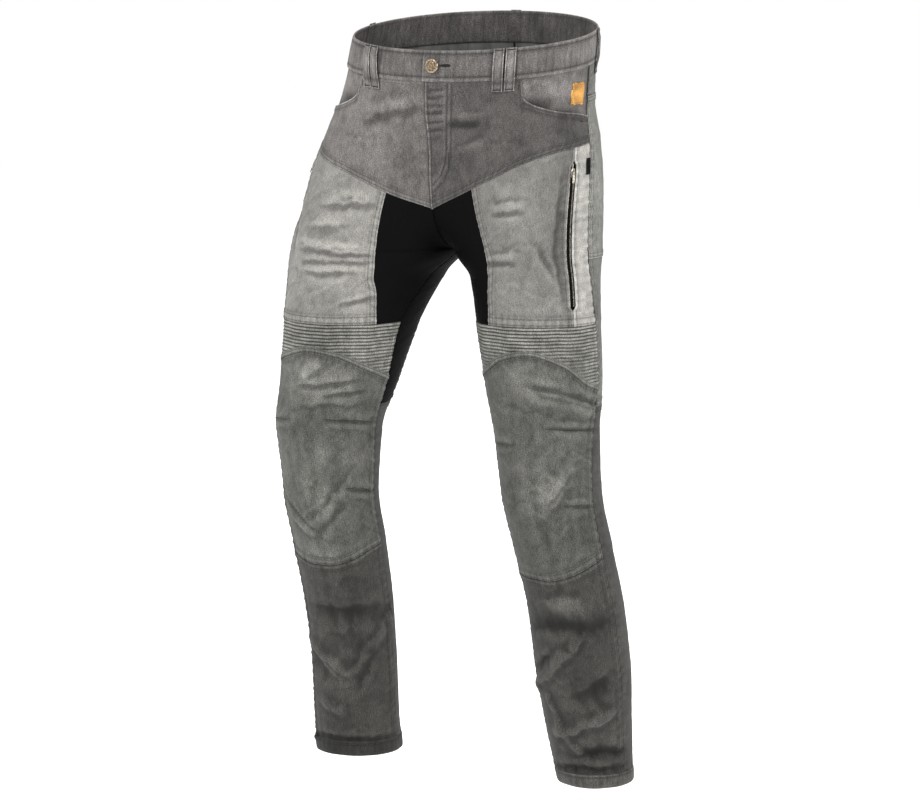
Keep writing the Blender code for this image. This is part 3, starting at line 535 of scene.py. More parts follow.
@dataclass(frozen=True)
class Cloth:
    """A woven finish whose lightness each piece's tone attribute gives.

    tint and depth multiply the tone. grain is the contrast of the marled yarn, mottle that of the
    wash, ribs_per_metre the twill's fineness and bump its depth.
    """

    name: str
    tint: tuple[float, float, float]
    grain: float = 1.15
    mottle: float = 0.62
    ribs_per_metre: float = 900.0
    bump: float = 0.35
    roughness: float = 0.88
    sheen: float = 0.05
    gloss: float = 0.2
    depth: float = 0.60

    def material(self) -> bpy.types.Material:
        """Builds the node material.

        Returns:
            The material: tone times tint, times marled yarn, times a soft wash.
        """
        made = bpy.data.materials.new(self.name)
        made.use_nodes = True
        tree = made.node_tree
        nodes, links = tree.nodes, tree.links
        shader = nodes["Principled BSDF"]
        shader.inputs["Roughness"].default_value = self.roughness
        shader.inputs["Sheen Weight"].default_value = self.sheen
        shader.inputs["Sheen Roughness"].default_value = 0.6
        shader.inputs["Specular IOR Level"].default_value = self.gloss
        tone = nodes.new("ShaderNodeAttribute")
        tone.attribute_name = "tone"
        weave_map = nodes.new("ShaderNodeUVMap")
        weave_map.uv_map = "weave"
        yarn = self._noise(nodes, links, weave_map.outputs["UV"], (560.0, 900.0, 1.0), 4.0)
        slub = self._noise(nodes, links, weave_map.outputs["UV"], (800.0, 130.0, 1.0), 2.0)
        place = nodes.new("ShaderNodeTexCoord")
        wash = self._noise(nodes, links, place.outputs["Object"], (22.0, 22.0, 15.0), 4.0)
        patch = self._noise(nodes, links, place.outputs["Object"], (95.0, 95.0, 60.0), 3.0)
        grain = self._sum(nodes, links, yarn, slub, 0.72)
        soft = self._sum(nodes, links, wash, patch, 0.55)
        factor = self._spread(nodes, links, grain, self.grain)
        cloud = self._spread(nodes, links, soft, self.mottle)
        both = self._math(nodes, links, "MULTIPLY", factor, cloud)
        light = self._math(nodes, links, "MULTIPLY", both, tone.outputs["Fac"])
        colour = nodes.new("ShaderNodeVectorMath")
        colour.operation = "SCALE"
        colour.inputs[0].default_value = tuple(share * self.depth for share in self.tint)
        links.new(light, colour.inputs["Scale"])
        links.new(colour.outputs["Vector"], shader.inputs["Base Color"])
        twill = nodes.new("ShaderNodeTexWave")
        twill.wave_type, twill.bands_direction = "BANDS", "DIAGONAL"
        twill.inputs["Scale"].default_value = self.ribs_per_metre / math.tau
        twill.inputs["Distortion"].default_value = 1.2
        twill.inputs["Detail"].default_value = 1.0
        links.new(weave_map.outputs["UV"], twill.inputs["Vector"])
        relief = self._sum(nodes, links, twill.outputs["Fac"], grain, 0.5)
        bump = nodes.new("ShaderNodeBump")
        bump.inputs["Strength"].default_value = self.bump
        bump.inputs["Distance"].default_value = 0.0006
        links.new(relief, bump.inputs["Height"])
        links.new(bump.outputs["Normal"], shader.inputs["Normal"])
        return made

    @staticmethod
    def _noise(
        nodes: bpy.types.Nodes, links: bpy.types.NodeLinks, source: bpy.types.NodeSocket,
        scale: tuple[float, float, float], detail: float,
    ) -> bpy.types.NodeSocket:
        """Adds a noise stretched by scale and returns its grey."""
        mapping = nodes.new("ShaderNodeMapping")
        mapping.inputs["Scale"].default_value = scale
        links.new(source, mapping.inputs["Vector"])
        noise = nodes.new("ShaderNodeTexNoise")
        noise.inputs["Scale"].default_value = 1.0
        noise.inputs["Detail"].default_value = detail
        links.new(mapping.outputs["Vector"], noise.inputs["Vector"])
        return noise.outputs["Fac"]

    @staticmethod
    def _math(
        nodes: bpy.types.Nodes, links: bpy.types.NodeLinks, operation: str,
        first: bpy.types.NodeSocket, second: bpy.types.NodeSocket | float,
    ) -> bpy.types.NodeSocket:
        """Adds a Math node on two values."""
        node = nodes.new("ShaderNodeMath")
        node.operation = operation
        links.new(first, node.inputs[0])
        if isinstance(second, float):
            node.inputs[1].default_value = second
        else:
            links.new(second, node.inputs[1])
        return node.outputs[0]

    def _sum(
        self, nodes: bpy.types.Nodes, links: bpy.types.NodeLinks,
        first: bpy.types.NodeSocket, second: bpy.types.NodeSocket, share: float,
    ) -> bpy.types.NodeSocket:
        """Mixes two greys: share of the first and the rest of the second."""
        a = self._math(nodes, links, "MULTIPLY", first, share)
        b = self._math(nodes, links, "MULTIPLY", second, 1.0 - share)
        return self._math(nodes, links, "ADD", a, b)

    def _spread(
        self, nodes: bpy.types.Nodes, links: bpy.types.NodeLinks,
        grey: bpy.types.NodeSocket, contrast: float,
    ) -> bpy.types.NodeSocket:
        """Turns a grey round 0.5 into a factor round 1: 1 + (grey - 0.5) * 4 * contrast."""
        scaled = self._math(nodes, links, "MULTIPLY", grey, 4.0 * contrast)
        return self._math(nodes, links, "ADD", scaled, 1.0 - 2.0 * contrast)


@dataclass(frozen=True)
class Metal:
    """Rubbed antique metal: dark and bright in patches of noise, rougher where dark."""

    name: str
    bright: tuple[float, float, float]
    dark: tuple[float, float, float]
    roughness: float = 0.42

    def material(self) -> bpy.types.Material:
        """Builds the node material from one noise.

        Returns:
            The metal's material.
        """
        made = bpy.data.materials.new(self.name)
        made.use_nodes = True
        nodes, links = made.node_tree.nodes, made.node_tree.links
        shader = nodes["Principled BSDF"]
        shader.inputs["Metallic"].default_value = 1.0
        place = nodes.new("ShaderNodeTexCoord")
        noise = nodes.new("ShaderNodeTexNoise")
        noise.inputs["Scale"].default_value = 420.0
        noise.inputs["Detail"].default_value = 4.0
        links.new(place.outputs["Object"], noise.inputs["Vector"])
        ramp = nodes.new("ShaderNodeValToRGB")
        ramp.color_ramp.elements[0].position = 0.36
        ramp.color_ramp.elements[1].position = 0.64
        ramp.color_ramp.elements[0].color = (*self.dark, 1)
        ramp.color_ramp.elements[1].color = (*self.bright, 1)
        links.new(noise.outputs["Fac"], ramp.inputs["Fac"])
        links.new(ramp.outputs["Color"], shader.inputs["Base Color"])
        rough = nodes.new("ShaderNodeMapRange")
        rough.inputs["To Min"].default_value = self.roughness + 0.15
        rough.inputs["To Max"].default_value = self.roughness - 0.1
        links.new(noise.outputs["Fac"], rough.inputs["Value"])
        links.new(rough.outputs["Result"], shader.inputs["Roughness"])
        bump = nodes.new("ShaderNodeBump")
        bump.inputs["Strength"].default_value = 0.25
        bump.inputs["Distance"].default_value = 0.0002
        links.new(noise.outputs["Fac"], bump.inputs["Height"])
        links.new(bump.outputs["Normal"], shader.inputs["Normal"])
        return made


@dataclass(frozen=True)
class Border:
    """How one edge of a panel is finished.

    strip is the width of the felled strip beside the seam and raised its height. stitches
    are the distances of the stitch rows from the edge, and rim how much paler the rubbed edge
    itself is. pucker is the height of the small
    ripples that the thread draws up across the seam, and reach how far they run in. wear
    lightens the edge as real wear, and shade puts painted shade into the hollow right at the
    seam.
    """

    strip: float = 0.0
    raised: float = 0.0
    stitches: tuple[float, ...] = ()
    pucker: float = 0.0
    reach: float = 0.012
    wave: float = 0.010
    wear: float = 0.0
    shade: float = 0.35
    tuck: float = 0.0009
    rim: float = 0.0
    only: tuple[float, float] = (-1.0, 2.0)

    def mask(self, u: np.ndarray) -> np.ndarray:
        """1 where the border is sewn and 0 outside its part of the edge."""
        low, high = self.only
        return smooth_step((u - low) / 0.004 + 0.5) * smooth_step((high - u) / 0.004 + 0.5)

    def rows(self) -> np.ndarray:
        """Distances from the edge at which the grid needs rows of its own."""
        places = [0.0, 0.0007, 0.0016]
        for at in self.stitches:
            places += [at - 0.0009, at, at + 0.0009]
        if self.strip:
            places += [self.strip * share for share in (0.35, 0.5, 0.68)]
            places += [self.strip - 0.0003, self.strip + 0.0006, self.strip + 0.0018]
        kept: list[float] = []
        for at in sorted(places):
            if not kept or at - kept[-1] > 0.00035:
                kept.append(at)
        return np.array(kept)

    def height(self, away: np.ndarray, along: np.ndarray, phase: float) -> np.ndarray:
        """Height beside the edge: the raised strip, less the tuck at the seam and the thread's
        furrows, plus ripples that fade as exp(-(away / reach) ** 2).

        Args:
            away: Distance from the edge.
            along: Place along the edge.
            phase: Start of the ripples' wave.

        Returns:
            Height in metres.
        """
        made = np.zeros(away.shape)
        if self.strip:
            made += self.raised * (1 - smooth_step((away - self.strip) / 0.0012))
        made -= self.tuck * np.clip(1 - away / 0.0016, 0, 1) ** 2
        for at in self.stitches:
            made -= 0.00035 * np.exp(-(((away - at) / 0.0007) ** 2))
        if self.pucker:
            wave = wander(math.tau * along / self.wave, phase)
            made += self.pucker * wave * np.exp(-((away / self.reach) ** 2))
        return made

    def light(self, away: np.ndarray, along: np.ndarray, phase: float) -> np.ndarray:
        """Factor on the tone beside the edge: painted shade in the seam, in a thin line right at the
        edge, under the thread and just past the strip; paler at the rubbed rim and on the strip's
        rubbed shoulder as real wear; and the ripples paler on their crests and darker in their
        troughs, partly wear and partly painted light and shade."""
        # Painted shade in the seam's hollow, and a thin painted dark line right at the edge where the
        # panels meet.
        made = 1 - self.shade * np.exp(-((away / 0.0011) ** 2))
        made -= 0.5 * np.exp(-((away / 0.0003) ** 2))
        made += self.rim * np.exp(-((away / 0.0017) ** 2))
        patchy = 0.75 + 0.25 * wander(math.tau * along / 0.013, phase + 2)
        if self.strip:
            on_strip = 1 - smooth_step((away - self.strip) / 0.001)
            middle = np.exp(-(((away - self.strip * 0.5) / (self.strip * 0.42)) ** 2))
            made *= 1 + self.wear * patchy * on_strip * middle
            # Painted shadow just past the raised strip's edge.
            beside = np.exp(-(((away - self.strip - 0.0012) / 0.0012) ** 2))
            made *= 1 - 0.22 * beside
        elif self.wear:
            made *= 1 + self.wear * patchy * np.exp(-(((away - 0.002) / 0.0022) ** 2))
        # Painted shade in the thread's furrows.
        for at in self.stitches:
            made *= 1 - 0.42 * np.exp(-(((away - at) / 0.0010) ** 2))
        # Ripples paler on their crests and darker in their troughs, partly wear and partly painted light
        # and shade.
        if self.pucker:
            wave = wander(math.tau * along / self.wave, phase)
            made *= 1 + 0.30 * wave * np.exp(-((away / self.reach) ** 2))
        return made


PLAIN_EDGE = Border()


def lattice_faces(rows: int, columns: int, flip: bool, closed: bool = False) -> np.ndarray:
    """Quads of a grid: the corners (i, j), (i, j + 1), (i + 1, j + 1) and (i + 1, j).

    Args:
        rows: Number of rows.
        columns: Number of columns.
        flip: Turns every face round.
        closed: Joins the last column to the first.

    Returns:
        One row of four indices per quad.
    """
    i, j = np.meshgrid(
        np.arange(rows - 1), np.arange(columns if closed else columns - 1), indexing="ij"
    )
    k = (j + 1) % columns
    quads = np.stack(
        [i * columns + j, i * columns + k, (i + 1) * columns + k, (i + 1) * columns + j], -1
    ).reshape(-1, 4)
    return quads[:, ::-1] if flip else quads


def mesh_piece(
    name: str, points: np.ndarray, faces: Sequence[Sequence[int]],
    materials: Sequence[bpy.types.Material], tone: np.ndarray | None = None,
    weave: np.ndarray | None = None, smooth: bool = True,
) -> bpy.types.Object:
    """Makes a mesh object at the origin.

    Args:
        name: The piece's name.
        points: Vertices.
        faces: Vertex indices of each face.
        materials: Material slots in order.
        tone: Linear light at each vertex, for cloth.
        weave: Place of each vertex on the flat cloth, in metres.
        smooth: Shades smooth.

    Returns:
        The object, linked to the scene.
    """
    mesh = bpy.data.meshes.new(name)
    points = np.asarray(points, float).reshape(-1, 3)
    mesh.from_pydata(points, [], faces)
    mesh.update()
    if tone is not None:
        layer = mesh.attributes.new("tone", "FLOAT", "POINT")
        layer.data.foreach_set("value", np.asarray(tone, np.float32).ravel())
    if weave is not None:
        corner = np.empty(len(mesh.loops), np.int32)
        mesh.loops.foreach_get("vertex_index", corner)
        layer = mesh.uv_layers.new(name="weave")
        flat = np.asarray(weave, np.float32).reshape(-1, 2)[corner]
        layer.data.foreach_set("uv", flat.ravel())
    for material in materials:
        mesh.materials.append(material)
    if smooth:
        mesh.shade_smooth()
    made = bpy.data.objects.new(name, mesh)
    bpy.context.scene.collection.objects.link(made)
    return made


@dataclass
class Wardrobe:
    """The finishes, made once and shared by the pieces."""

    denim: Cloth = Cloth("washed_denim", (1.01, 1.0, 0.905))
    yoke: Cloth = Cloth("washed_denim_warm", (1.08, 1.0, 0.955))
    faded: Cloth = Cloth("faded_denim", (1.03, 1.0, 0.925), grain=0.80, mottle=0.36)
    dark: Cloth = Cloth("deep_denim", (1.05, 1.0, 0.90))
    stretch: Cloth = Cloth(
        "black_stretch_weave", (0.98, 1.0, 1.0), grain=0.3, mottle=0.2, depth=0.09,
        ribs_per_metre=1500.0, bump=0.22, roughness=0.8, sheen=0.0, gloss=0.08,
    )
    inside: Cloth = Cloth("denim_inside", (1.0, 0.99, 0.97), grain=0.2)
    thread: Cloth = Cloth(
        "topstitch_thread", (1.0, 0.98, 0.95), grain=0.1, mottle=0.05, bump=0.1, roughness=0.7
    )
    patch: Cloth = Cloth(
        "tan_patch_cloth", (1.62, 0.82, 0.20), grain=0.9, mottle=1.1, ribs_per_metre=1100.0
    )
    brass: Metal = Metal("antique_brass", (0.42, 0.33, 0.23), (0.10, 0.075, 0.05))
    nickel: Metal = Metal("worn_nickel", (0.55, 0.52, 0.46), (0.16, 0.14, 0.11), 0.36)
    made: dict[str, bpy.types.Material] = field(default_factory=dict)

    def get(self, finish: Cloth | Metal) -> bpy.types.Material:
        """The finish's material, built at first use."""
        if finish.name not in self.made:
            self.made[finish.name] = finish.material()
        return self.made[finish.name]


@dataclass(frozen=True)
class Thread:
    """One kind of stitching: its pitch, its stitches' length, width and height in metres."""

    pitch: float = 0.0034
    length: float = 0.0027
    width: float = 0.0006
    height: float = 0.00036

    def capsules(self, path: np.ndarray, out: np.ndarray) -> tuple[np.ndarray, np.ndarray]:
        """Stitches along a path, each a lozenge of ten points: a tip at each end and two
        rings of four between them.

        Args:
            path: Points along the row, close together.
            out: Outward normal at each point.

        Returns:
            The vertices and, for each, the index of its stitch.
        """
        steps = np.linalg.norm(np.diff(path, axis=0), axis=1)
        place = np.concatenate([[0], np.cumsum(steps)])
        count = max(1, int(place[-1] / self.pitch))
        middle = (np.arange(count) + 0.5) * place[-1] / count

        def read(values: np.ndarray, at: np.ndarray) -> np.ndarray:
            """Reads the path's values at distances along it."""
            return np.stack([np.interp(at, place, values[:, k]) for k in range(3)], -1)

        head = read(path, middle - self.length / 2)
        tail = read(path, middle + self.length / 2)
        up = read(out, middle)
        up /= np.linalg.norm(up, axis=1, keepdims=True)
        run = tail - head
        run /= np.maximum(np.linalg.norm(run, axis=1, keepdims=True), 1e-9)
        aside = np.cross(up, run)
        sunk = -0.00012
        points = []
        for share, swell in ((0.0, 0.0), (0.16, 1.0), (0.84, 1.0), (1.0, 0.0)):
            centre = head + (tail - head) * share + up * sunk
            if swell == 0.0:
                points.append(centre)
                continue
            points.append(centre + aside * self.width / 2 + up * self.height * 0.35)
            points.append(centre + up * self.height)
            points.append(centre - aside * self.width / 2 + up * self.height * 0.35)
            points.append(centre - up * self.height * 0.2)
        return np.stack(points, 1), np.arange(count)

    @staticmethod
    def faces(count: int) -> list[tuple[int, ...]]:
        """Faces of so many lozenges, ten points each."""
        one = [
            (0, 2, 1), (0, 3, 2), (0, 4, 3), (0, 1, 4),
            (1, 2, 6, 5), (2, 3, 7, 6), (3, 4, 8, 7), (4, 1, 5, 8),
            (9, 5, 6), (9, 6, 7), (9, 7, 8), (9, 8, 5),
        ]
        return [tuple(k * 10 + v for v in face) for k in range(count) for face in one]


SEWING = Thread()
# Dark, wide and nearly unbroken: laid along each knee tuck's fold line as painted shade in the fold's
# crease, made as thread.
TUCK_SHADE_THREAD = Thread(pitch=0.0030, length=0.0033, width=0.0011, height=0.0004)
BARTACK = Thread(pitch=0.00062, length=0.0020, width=0.0006, height=0.0005)


@dataclass
class Sewing:
    """Collects the stitch rows of one piece and makes them one mesh."""

    name: str
    tone: float = 62.0
    thread: Thread = SEWING
    parts: list[np.ndarray] = field(default_factory=list)
    greys: list[float] = field(default_factory=list)

    def row(
        self, path: np.ndarray, out: np.ndarray, thread: Thread | None = None,
        grey: float | None = None,
    ) -> None:
        """Adds a row of stitches along a path, in a grey of its own if one is given."""
        points, _ = (thread or self.thread).capsules(path, out)
        self.parts.append(points)
        self.greys += [grey or self.tone] * len(points)

    def bar(self, path: np.ndarray, out: np.ndarray) -> None:
        """Adds a bartack: short stitches packed side by side, lying across the path."""
        steps = np.linalg.norm(np.diff(path, axis=0), axis=1)
        place = np.concatenate([[0], np.cumsum(steps)])
        count = max(3, int(place[-1] / BARTACK.pitch))
        at = np.linspace(0, place[-1], count)
        centre = np.stack([np.interp(at, place, path[:, k]) for k in range(3)], -1)
        up = np.stack([np.interp(at, place, out[:, k]) for k in range(3)], -1)
        along = np.gradient(centre, axis=0)
        along /= np.linalg.norm(along, axis=1, keepdims=True)
        across = np.cross(up, along) * BARTACK.length / 2
        for k in range(count):
            ends = np.stack([centre[k] - across[k], centre[k] + across[k]])
            one = Thread(BARTACK.length, BARTACK.length, BARTACK.width, BARTACK.height)
            points, _ = one.capsules(ends, np.stack([up[k], up[k]]))
            self.parts.append(points[:1])
            self.greys.append(self.tone)

    def build(self, wardrobe: Wardrobe) -> bpy.types.Object | None:
        """Makes the mesh of all rows, or nothing if there are none."""
        if not self.parts:
            return None
        points = np.concatenate(self.parts)
        count = len(points)
        uneven = 1 + 0.22 * wander(np.arange(count) * 1.7, 0.4)
        shade = np.repeat(linear(np.array(self.greys)) * uneven, 10)
        made = mesh_piece(
            self.name + "_stitching", points, Thread.faces(count),
            [wardrobe.get(wardrobe.thread)], shade, points.reshape(-1, 3)[:, [0, 2]],
        )
        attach(made, "trousers")
        return made


@dataclass
class Lattice:
    """A solved grid of a panel: where its points lie and how far they are from its edges."""

    s: np.ndarray
    t: np.ndarray
    u: np.ndarray
    level: np.ndarray
    away: dict[Edge, np.ndarray]
    along: np.ndarray
    down: np.ndarray


@dataclass
class Panel:
    """A panel of cloth between four seams, with its folds, its sewn edges and its tone.

    cut is the flat width and length it was cut to and area its flat area, as they show.
    relief adds heights of the panel's own, such as ribs, and its painted shading a factor on its tone:
    painted shade and light of its own, such as in the ribs' grooves and beside the fly.
    """

    name: str
    surface: ClothSurface
    start: Curve
    end: Curve
    top: Curve
    bottom: Curve
    tone: Wash
    finish: Cloth
    borders: dict[Edge, Border]
    cut: tuple[float, float] = (0.3, 0.3)
    area: float = 0.05
    cell: tuple[float, float] = (0.0034, 0.0034)
    offset: Callable[[np.ndarray, np.ndarray], np.ndarray] | None = None
    relief: Callable[[Lattice], np.ndarray] | None = None
    glow: Callable[[Lattice], np.ndarray] | None = None
    thickness: float = CLOTH
    crumpled: float = 0.0008
    inside_grey: float = 60.0
    thread_grey: float = 62.0
    rests_on: tuple[str, ...] = ("waistband",)
    phase: float = 0.0
    lattice: Lattice | None = None
    points: np.ndarray | None = None
    normals: np.ndarray | None = None
    light: np.ndarray | None = None
    sewing: Sewing | None = None

    def solve(self, s: np.ndarray, t: np.ndarray) -> tuple[np.ndarray, np.ndarray]:
        """Finds u and level at shares s across and t down, by repeated substitution of
        u = start(level) + (end(level) - start(level)) * s and of the same for level."""
        u, level = np.array(s, float), np.array(-t, float)
        for _ in range(30):
            level = self.top(u) * (1 - t) + self.bottom(u) * t
            u = self.start(level) * (1 - s) + self.end(level) * s
        return u, level

    def lay_out(self) -> Lattice:
        """Spreads the grid so that its rows beside each edge keep their distances in metres.

        Returns:
            The lattice.
        """
        coarse_s, coarse_t = np.meshgrid(np.linspace(0, 1, 41), np.linspace(0, 1, 41))
        u, level = self.solve(coarse_s, coarse_t)
        flat = self.surface.base(u, level)
        wide = np.linalg.norm(np.diff(flat, axis=1), axis=2).sum(1)
        high = np.linalg.norm(np.diff(flat, axis=0), axis=2).sum(0)

        def slope(row: int) -> np.ndarray:
            """Cosine of the angle between an edge and the level."""
            step = np.gradient(flat[row], axis=0)
            length = np.linalg.norm(step, axis=1)
            return np.clip(np.sqrt(np.clip(1 - (step[:, 2] / length) ** 2, 0, 1)), 0.45, 1)

        cos_top, cos_foot = slope(0), slope(-1)
        span = np.linspace(0, 1, 41)
        near = self.borders.get(Edge.START, PLAIN_EDGE).rows()
        far = self.borders.get(Edge.END, PLAIN_EDGE).rows()
        over = self.borders.get(Edge.TOP, PLAIN_EDGE).rows()
        under = self.borders.get(Edge.BOTTOM, PLAIN_EDGE).rows()

        def stations(total: np.ndarray, near: np.ndarray, far: np.ndarray, count: int) -> np.ndarray:
            """Distances along lines of unlike lengths: fixed at both ends, even between."""
            share = np.linspace(0, 1, count)
            first, last = near[..., -1:], far[..., -1:]
            middle = first + (total[:, None] - first - last) * share
            return np.concatenate(
                [near[..., :-1], middle, (total[:, None] - far[..., :-1])[..., ::-1]], -1
            )

        columns = max(3, int(np.median(wide) / self.cell[0]))
        rows = max(3, int(np.median(high) / self.cell[1]))
        t_even = np.linspace(0, 1, rows + len(over) + len(under) - 2)
        s_even = np.linspace(0, 1, columns + len(near) + len(far) - 2)
        s, t = np.meshgrid(s_even, t_even)
        for _ in range(3):
            row_total = np.interp(t.mean(1), span, wide)
            fit = np.minimum(1, 0.45 * row_total / (near[-1] + far[-1]))[:, None]
            metres = stations(row_total, near[None] * fit, far[None] * fit, columns)
            s = metres / row_total[:, None]
            column_total = np.interp(s.mean(0), span, high)
            lean_top = np.interp(s.mean(0), span, cos_top)[:, None]
            lean_foot = np.interp(s.mean(0), span, cos_foot)[:, None]
            reach = over[-1] / lean_top[:, 0] + under[-1] / lean_foot[:, 0]
            fit = np.minimum(1, 0.45 * column_total / reach)[:, None]
            depth = stations(
                column_total, over[None] / lean_top * fit, under[None] / lean_foot * fit, rows
            ).T
            t = depth / column_total[None, :]
        u, level = self.solve(s, t)
        away = {
            Edge.START: metres,
            Edge.END: row_total[:, None] - metres,
            Edge.TOP: depth * lean_top.T,
            Edge.BOTTOM: (column_total[None, :] - depth) * lean_foot.T,
        }
        return Lattice(s, t, u, level, away, metres, depth)

    def shape(self) -> None:
        """Works out the points, normals and tone of the panel, with painted shade in its folds' hollows and
        paler ridges.
        """
        grid = self.lattice = self.lay_out()
        fold = self.surface.fold(grid.u, grid.level)
        detail = np.zeros(grid.u.shape)
        factor = np.ones(grid.u.shape)
        for number, (edge, border) in enumerate(self.borders.items()):
            along = grid.down if edge in (Edge.START, Edge.END) else grid.along
            phase = self.phase + number * 1.9
            mask = border.mask(grid.u)
            detail += border.height(grid.away[edge], along, phase) * mask
            factor *= 1 + (border.light(grid.away[edge], along, phase) - 1) * mask
        if self.relief is not None:
            detail += self.relief(grid)
        if self.glow is not None:
            factor *= self.glow(grid)
        scale = self.surface.metres_per_u(grid.level)
        rumple = wander(grid.u * scale * 95 + 2.2 * np.sin(grid.level * 41), self.phase)
        rumple = rumple * wander(grid.level * 118 + 1.7 * np.sin(grid.u * 19), self.phase + 1)
        detail += 0.00030 * rumple
        lines = crumple(grid.u * scale, grid.level, self.phase) * self.crumpled
        calm = smooth_step(np.minimum.reduce(list(grid.away.values())) / 0.012)
        fold = fold + lines * (0.35 + 0.65 * calm)
        lift = fold + detail
        if self.offset is not None:
            lift = lift + self.offset(grid.u, grid.level)
        self.normals = self.surface.normal(grid.u, grid.level)
        self.points = self.surface.base(grid.u, grid.level) + self.normals * lift[..., None]
        # Painted light and shade from the folds: hollows painted darker as shade, ridges paler, partly as
        # real wear of the raised cloth and partly as painted highlight, and higher folds a little lighter
        # overall.
        ridge = np.tanh((fold - self.blurred(fold, 12)) / 0.00042)
        line = np.tanh((fold - self.blurred(fold, 3)) / 0.00014)
        ridge_wear_and_hollow_shade = 1 + np.where(ridge > 0, 0.20, 0.30) * ridge
        ridge_wear_and_hollow_shade *= 1 + np.where(line > 0, 0.08, 0.18) * line
        ridge_wear_and_hollow_shade *= 1 + np.clip(fold / 0.004, -1, 1) * 0.08
        self.light = self.tone.read(grid.u, grid.level) * factor * ridge_wear_and_hollow_shade

    @staticmethod
    def blurred(values: np.ndarray, times: int) -> np.ndarray:
        """The grid's values, each mixed so many times with its four neighbours."""
        for _ in range(times):
            padded = np.pad(values, 1, mode="edge")
            values = (
                padded[1:-1, 1:-1] * 2 + padded[:-2, 1:-1] + padded[2:, 1:-1]
                + padded[1:-1, :-2] + padded[1:-1, 2:]
            ) / 6
        return values

    def at(self, s: np.ndarray, t: np.ndarray) -> tuple[np.ndarray, np.ndarray]:
        """Points and normals on the finished panel at shares s and t, by reading the grid
        between its own rows and columns."""
        grid = self.lattice
        row_t, column_s = grid.t.mean(1), grid.s.mean(0)
        i = np.clip(np.searchsorted(row_t, t) - 1, 0, len(row_t) - 2)
        j = np.clip(np.searchsorted(column_s, s) - 1, 0, len(column_s) - 2)
        p = np.clip((t - row_t[i]) / (row_t[i + 1] - row_t[i]), 0, 1)[:, None]
        q = np.clip((s - column_s[j]) / (column_s[j + 1] - column_s[j]), 0, 1)[:, None]

        def blend(values: np.ndarray) -> np.ndarray:
            """Mixes the four values round each place."""
            top = values[i, j] * (1 - q) + values[i, j + 1] * q
            low = values[i + 1, j] * (1 - q) + values[i + 1, j + 1] * q
            return top * (1 - p) + low * p

        return blend(self.points), blend(self.normals)

    def edge_path(self, edge: Edge, distance: float) -> tuple[np.ndarray, np.ndarray]:
        """Points and normals on the panel at one distance from an edge.

        Args:
            edge: The edge that the path follows.
            distance: Its distance from that edge in metres.

        Returns:
            The points and their normals, in order along the edge.
        """
        away = self.lattice.away[edge]
        if edge in (Edge.START, Edge.END):
            away, points, normals = away, self.points, self.normals
        else:
            away = away.T
            points = self.points.transpose(1, 0, 2)
            normals = self.normals.transpose(1, 0, 2)
        if edge in (Edge.END, Edge.BOTTOM):
            away, points, normals = away[:, ::-1], points[:, ::-1], normals[:, ::-1]
        k = np.clip((away < distance).sum(1) - 1, 0, away.shape[1] - 2)
        row = np.arange(len(away))
        share = (distance - away[row, k]) / (away[row, k + 1] - away[row, k])
        share = np.clip(share, 0, 1)[:, None]
        return (
            points[row, k] * (1 - share) + points[row, k + 1] * share,
            normals[row, k] * (1 - share) + normals[row, k + 1] * share,
        )

    def cloth_path(self, places: Table, steps: int = 60) -> tuple[np.ndarray, np.ndarray]:
        """Points and normals on the panel along a line of (u, level) places.

        Args:
            places: Corners of the line.
            steps: How many points it gets.

        Returns:
            The points and their normals.
        """
        rows = np.array(places, float)
        scale = self.surface.metres_per_u(rows[:, 1])
        flat = np.stack([rows[:, 0] * scale, rows[:, 1]], -1)
        run = np.concatenate([[0], np.cumsum(np.linalg.norm(np.diff(flat, axis=0), axis=1))])
        at = np.linspace(0, run[-1], steps)
        u, level = np.interp(at, run, rows[:, 0]), np.interp(at, run, rows[:, 1])
        grid = self.lattice
        high, low = self.top(u), self.bottom(u)
        t = (high - level) / (high - low)
        first, last = self.start(level), self.end(level)
        s = (u - first) / (last - first)
        return self.at(np.clip(s, grid.s.min(), 1), np.clip(t, 0, 1))

    def build(self, wardrobe: Wardrobe, nodes: Sequence[str] = ()) -> bpy.types.Object:
        """Makes the panel's shell and its stitching.

        Args:
            wardrobe: The finishes.
            nodes: CAD nodes that the panel stands for: the one of its own name if none.

        Returns:
            The panel's object.
        """
        self.shape()
        rows, columns = self.points.shape[:2]
        flip = self.surface.side is Side.LEFT
        scale = self.surface.metres_per_u(self.lattice.level)
        weave = np.stack([self.lattice.u * scale, self.lattice.level], -1)
        made = mesh_piece(
            self.name + "_cloth", self.points, lattice_faces(rows, columns, flip),
            [wardrobe.get(self.finish), wardrobe.get(wardrobe.inside)], self.light, weave,
        )
        shell = made.modifiers.new("cloth_thickness", "SOLIDIFY")
        shell.thickness, shell.offset = self.thickness, -1.0
        shell.use_even_offset = False
        shell.material_offset = 1
        shell.material_offset_rim = 0
        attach(made, "trousers")
        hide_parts(*(nodes or (self.name,)))
        self.sewing = Sewing(self.name, self.thread_grey)
        for edge, border in self.borders.items():
            for distance in border.stitches:
                self.sewing.row(*self.edge_path(edge, distance))
        log.info("%s: %d by %d points", self.name, rows, columns)
        return made

    def declare(self, wardrobe: Wardrobe) -> None:
        """Builds the stitching."""
        stitching = self.sewing.build(wardrobe)


def folds_between(places: Table, width: float, lift: float, edge: float = 1.0) -> list[Crease]:
    """One crease through several places, a segment from each to the next."""
    return [
        Crease((a[0], a[1]), (b[0], b[1]), width, lift, 0.0, edge)
        for a, b in zip(places[:-1], places[1:])
    ]


def dart(start: tuple[float, float], end: tuple[float, float]) -> list[Crease]:
    """A stitched dart: a sharp hollow with a soft ridge above and below it."""
    above, below = 0.0080, -0.0075
    return [
        Crease(start, end, 0.0026, -0.0020),
        Crease((start[0], start[1] + above), (end[0], end[1] + above), 0.0060, 0.0012),
        Crease((start[0], start[1] + below), (end[0], end[1] + below), 0.0056, 0.0010),
    ]


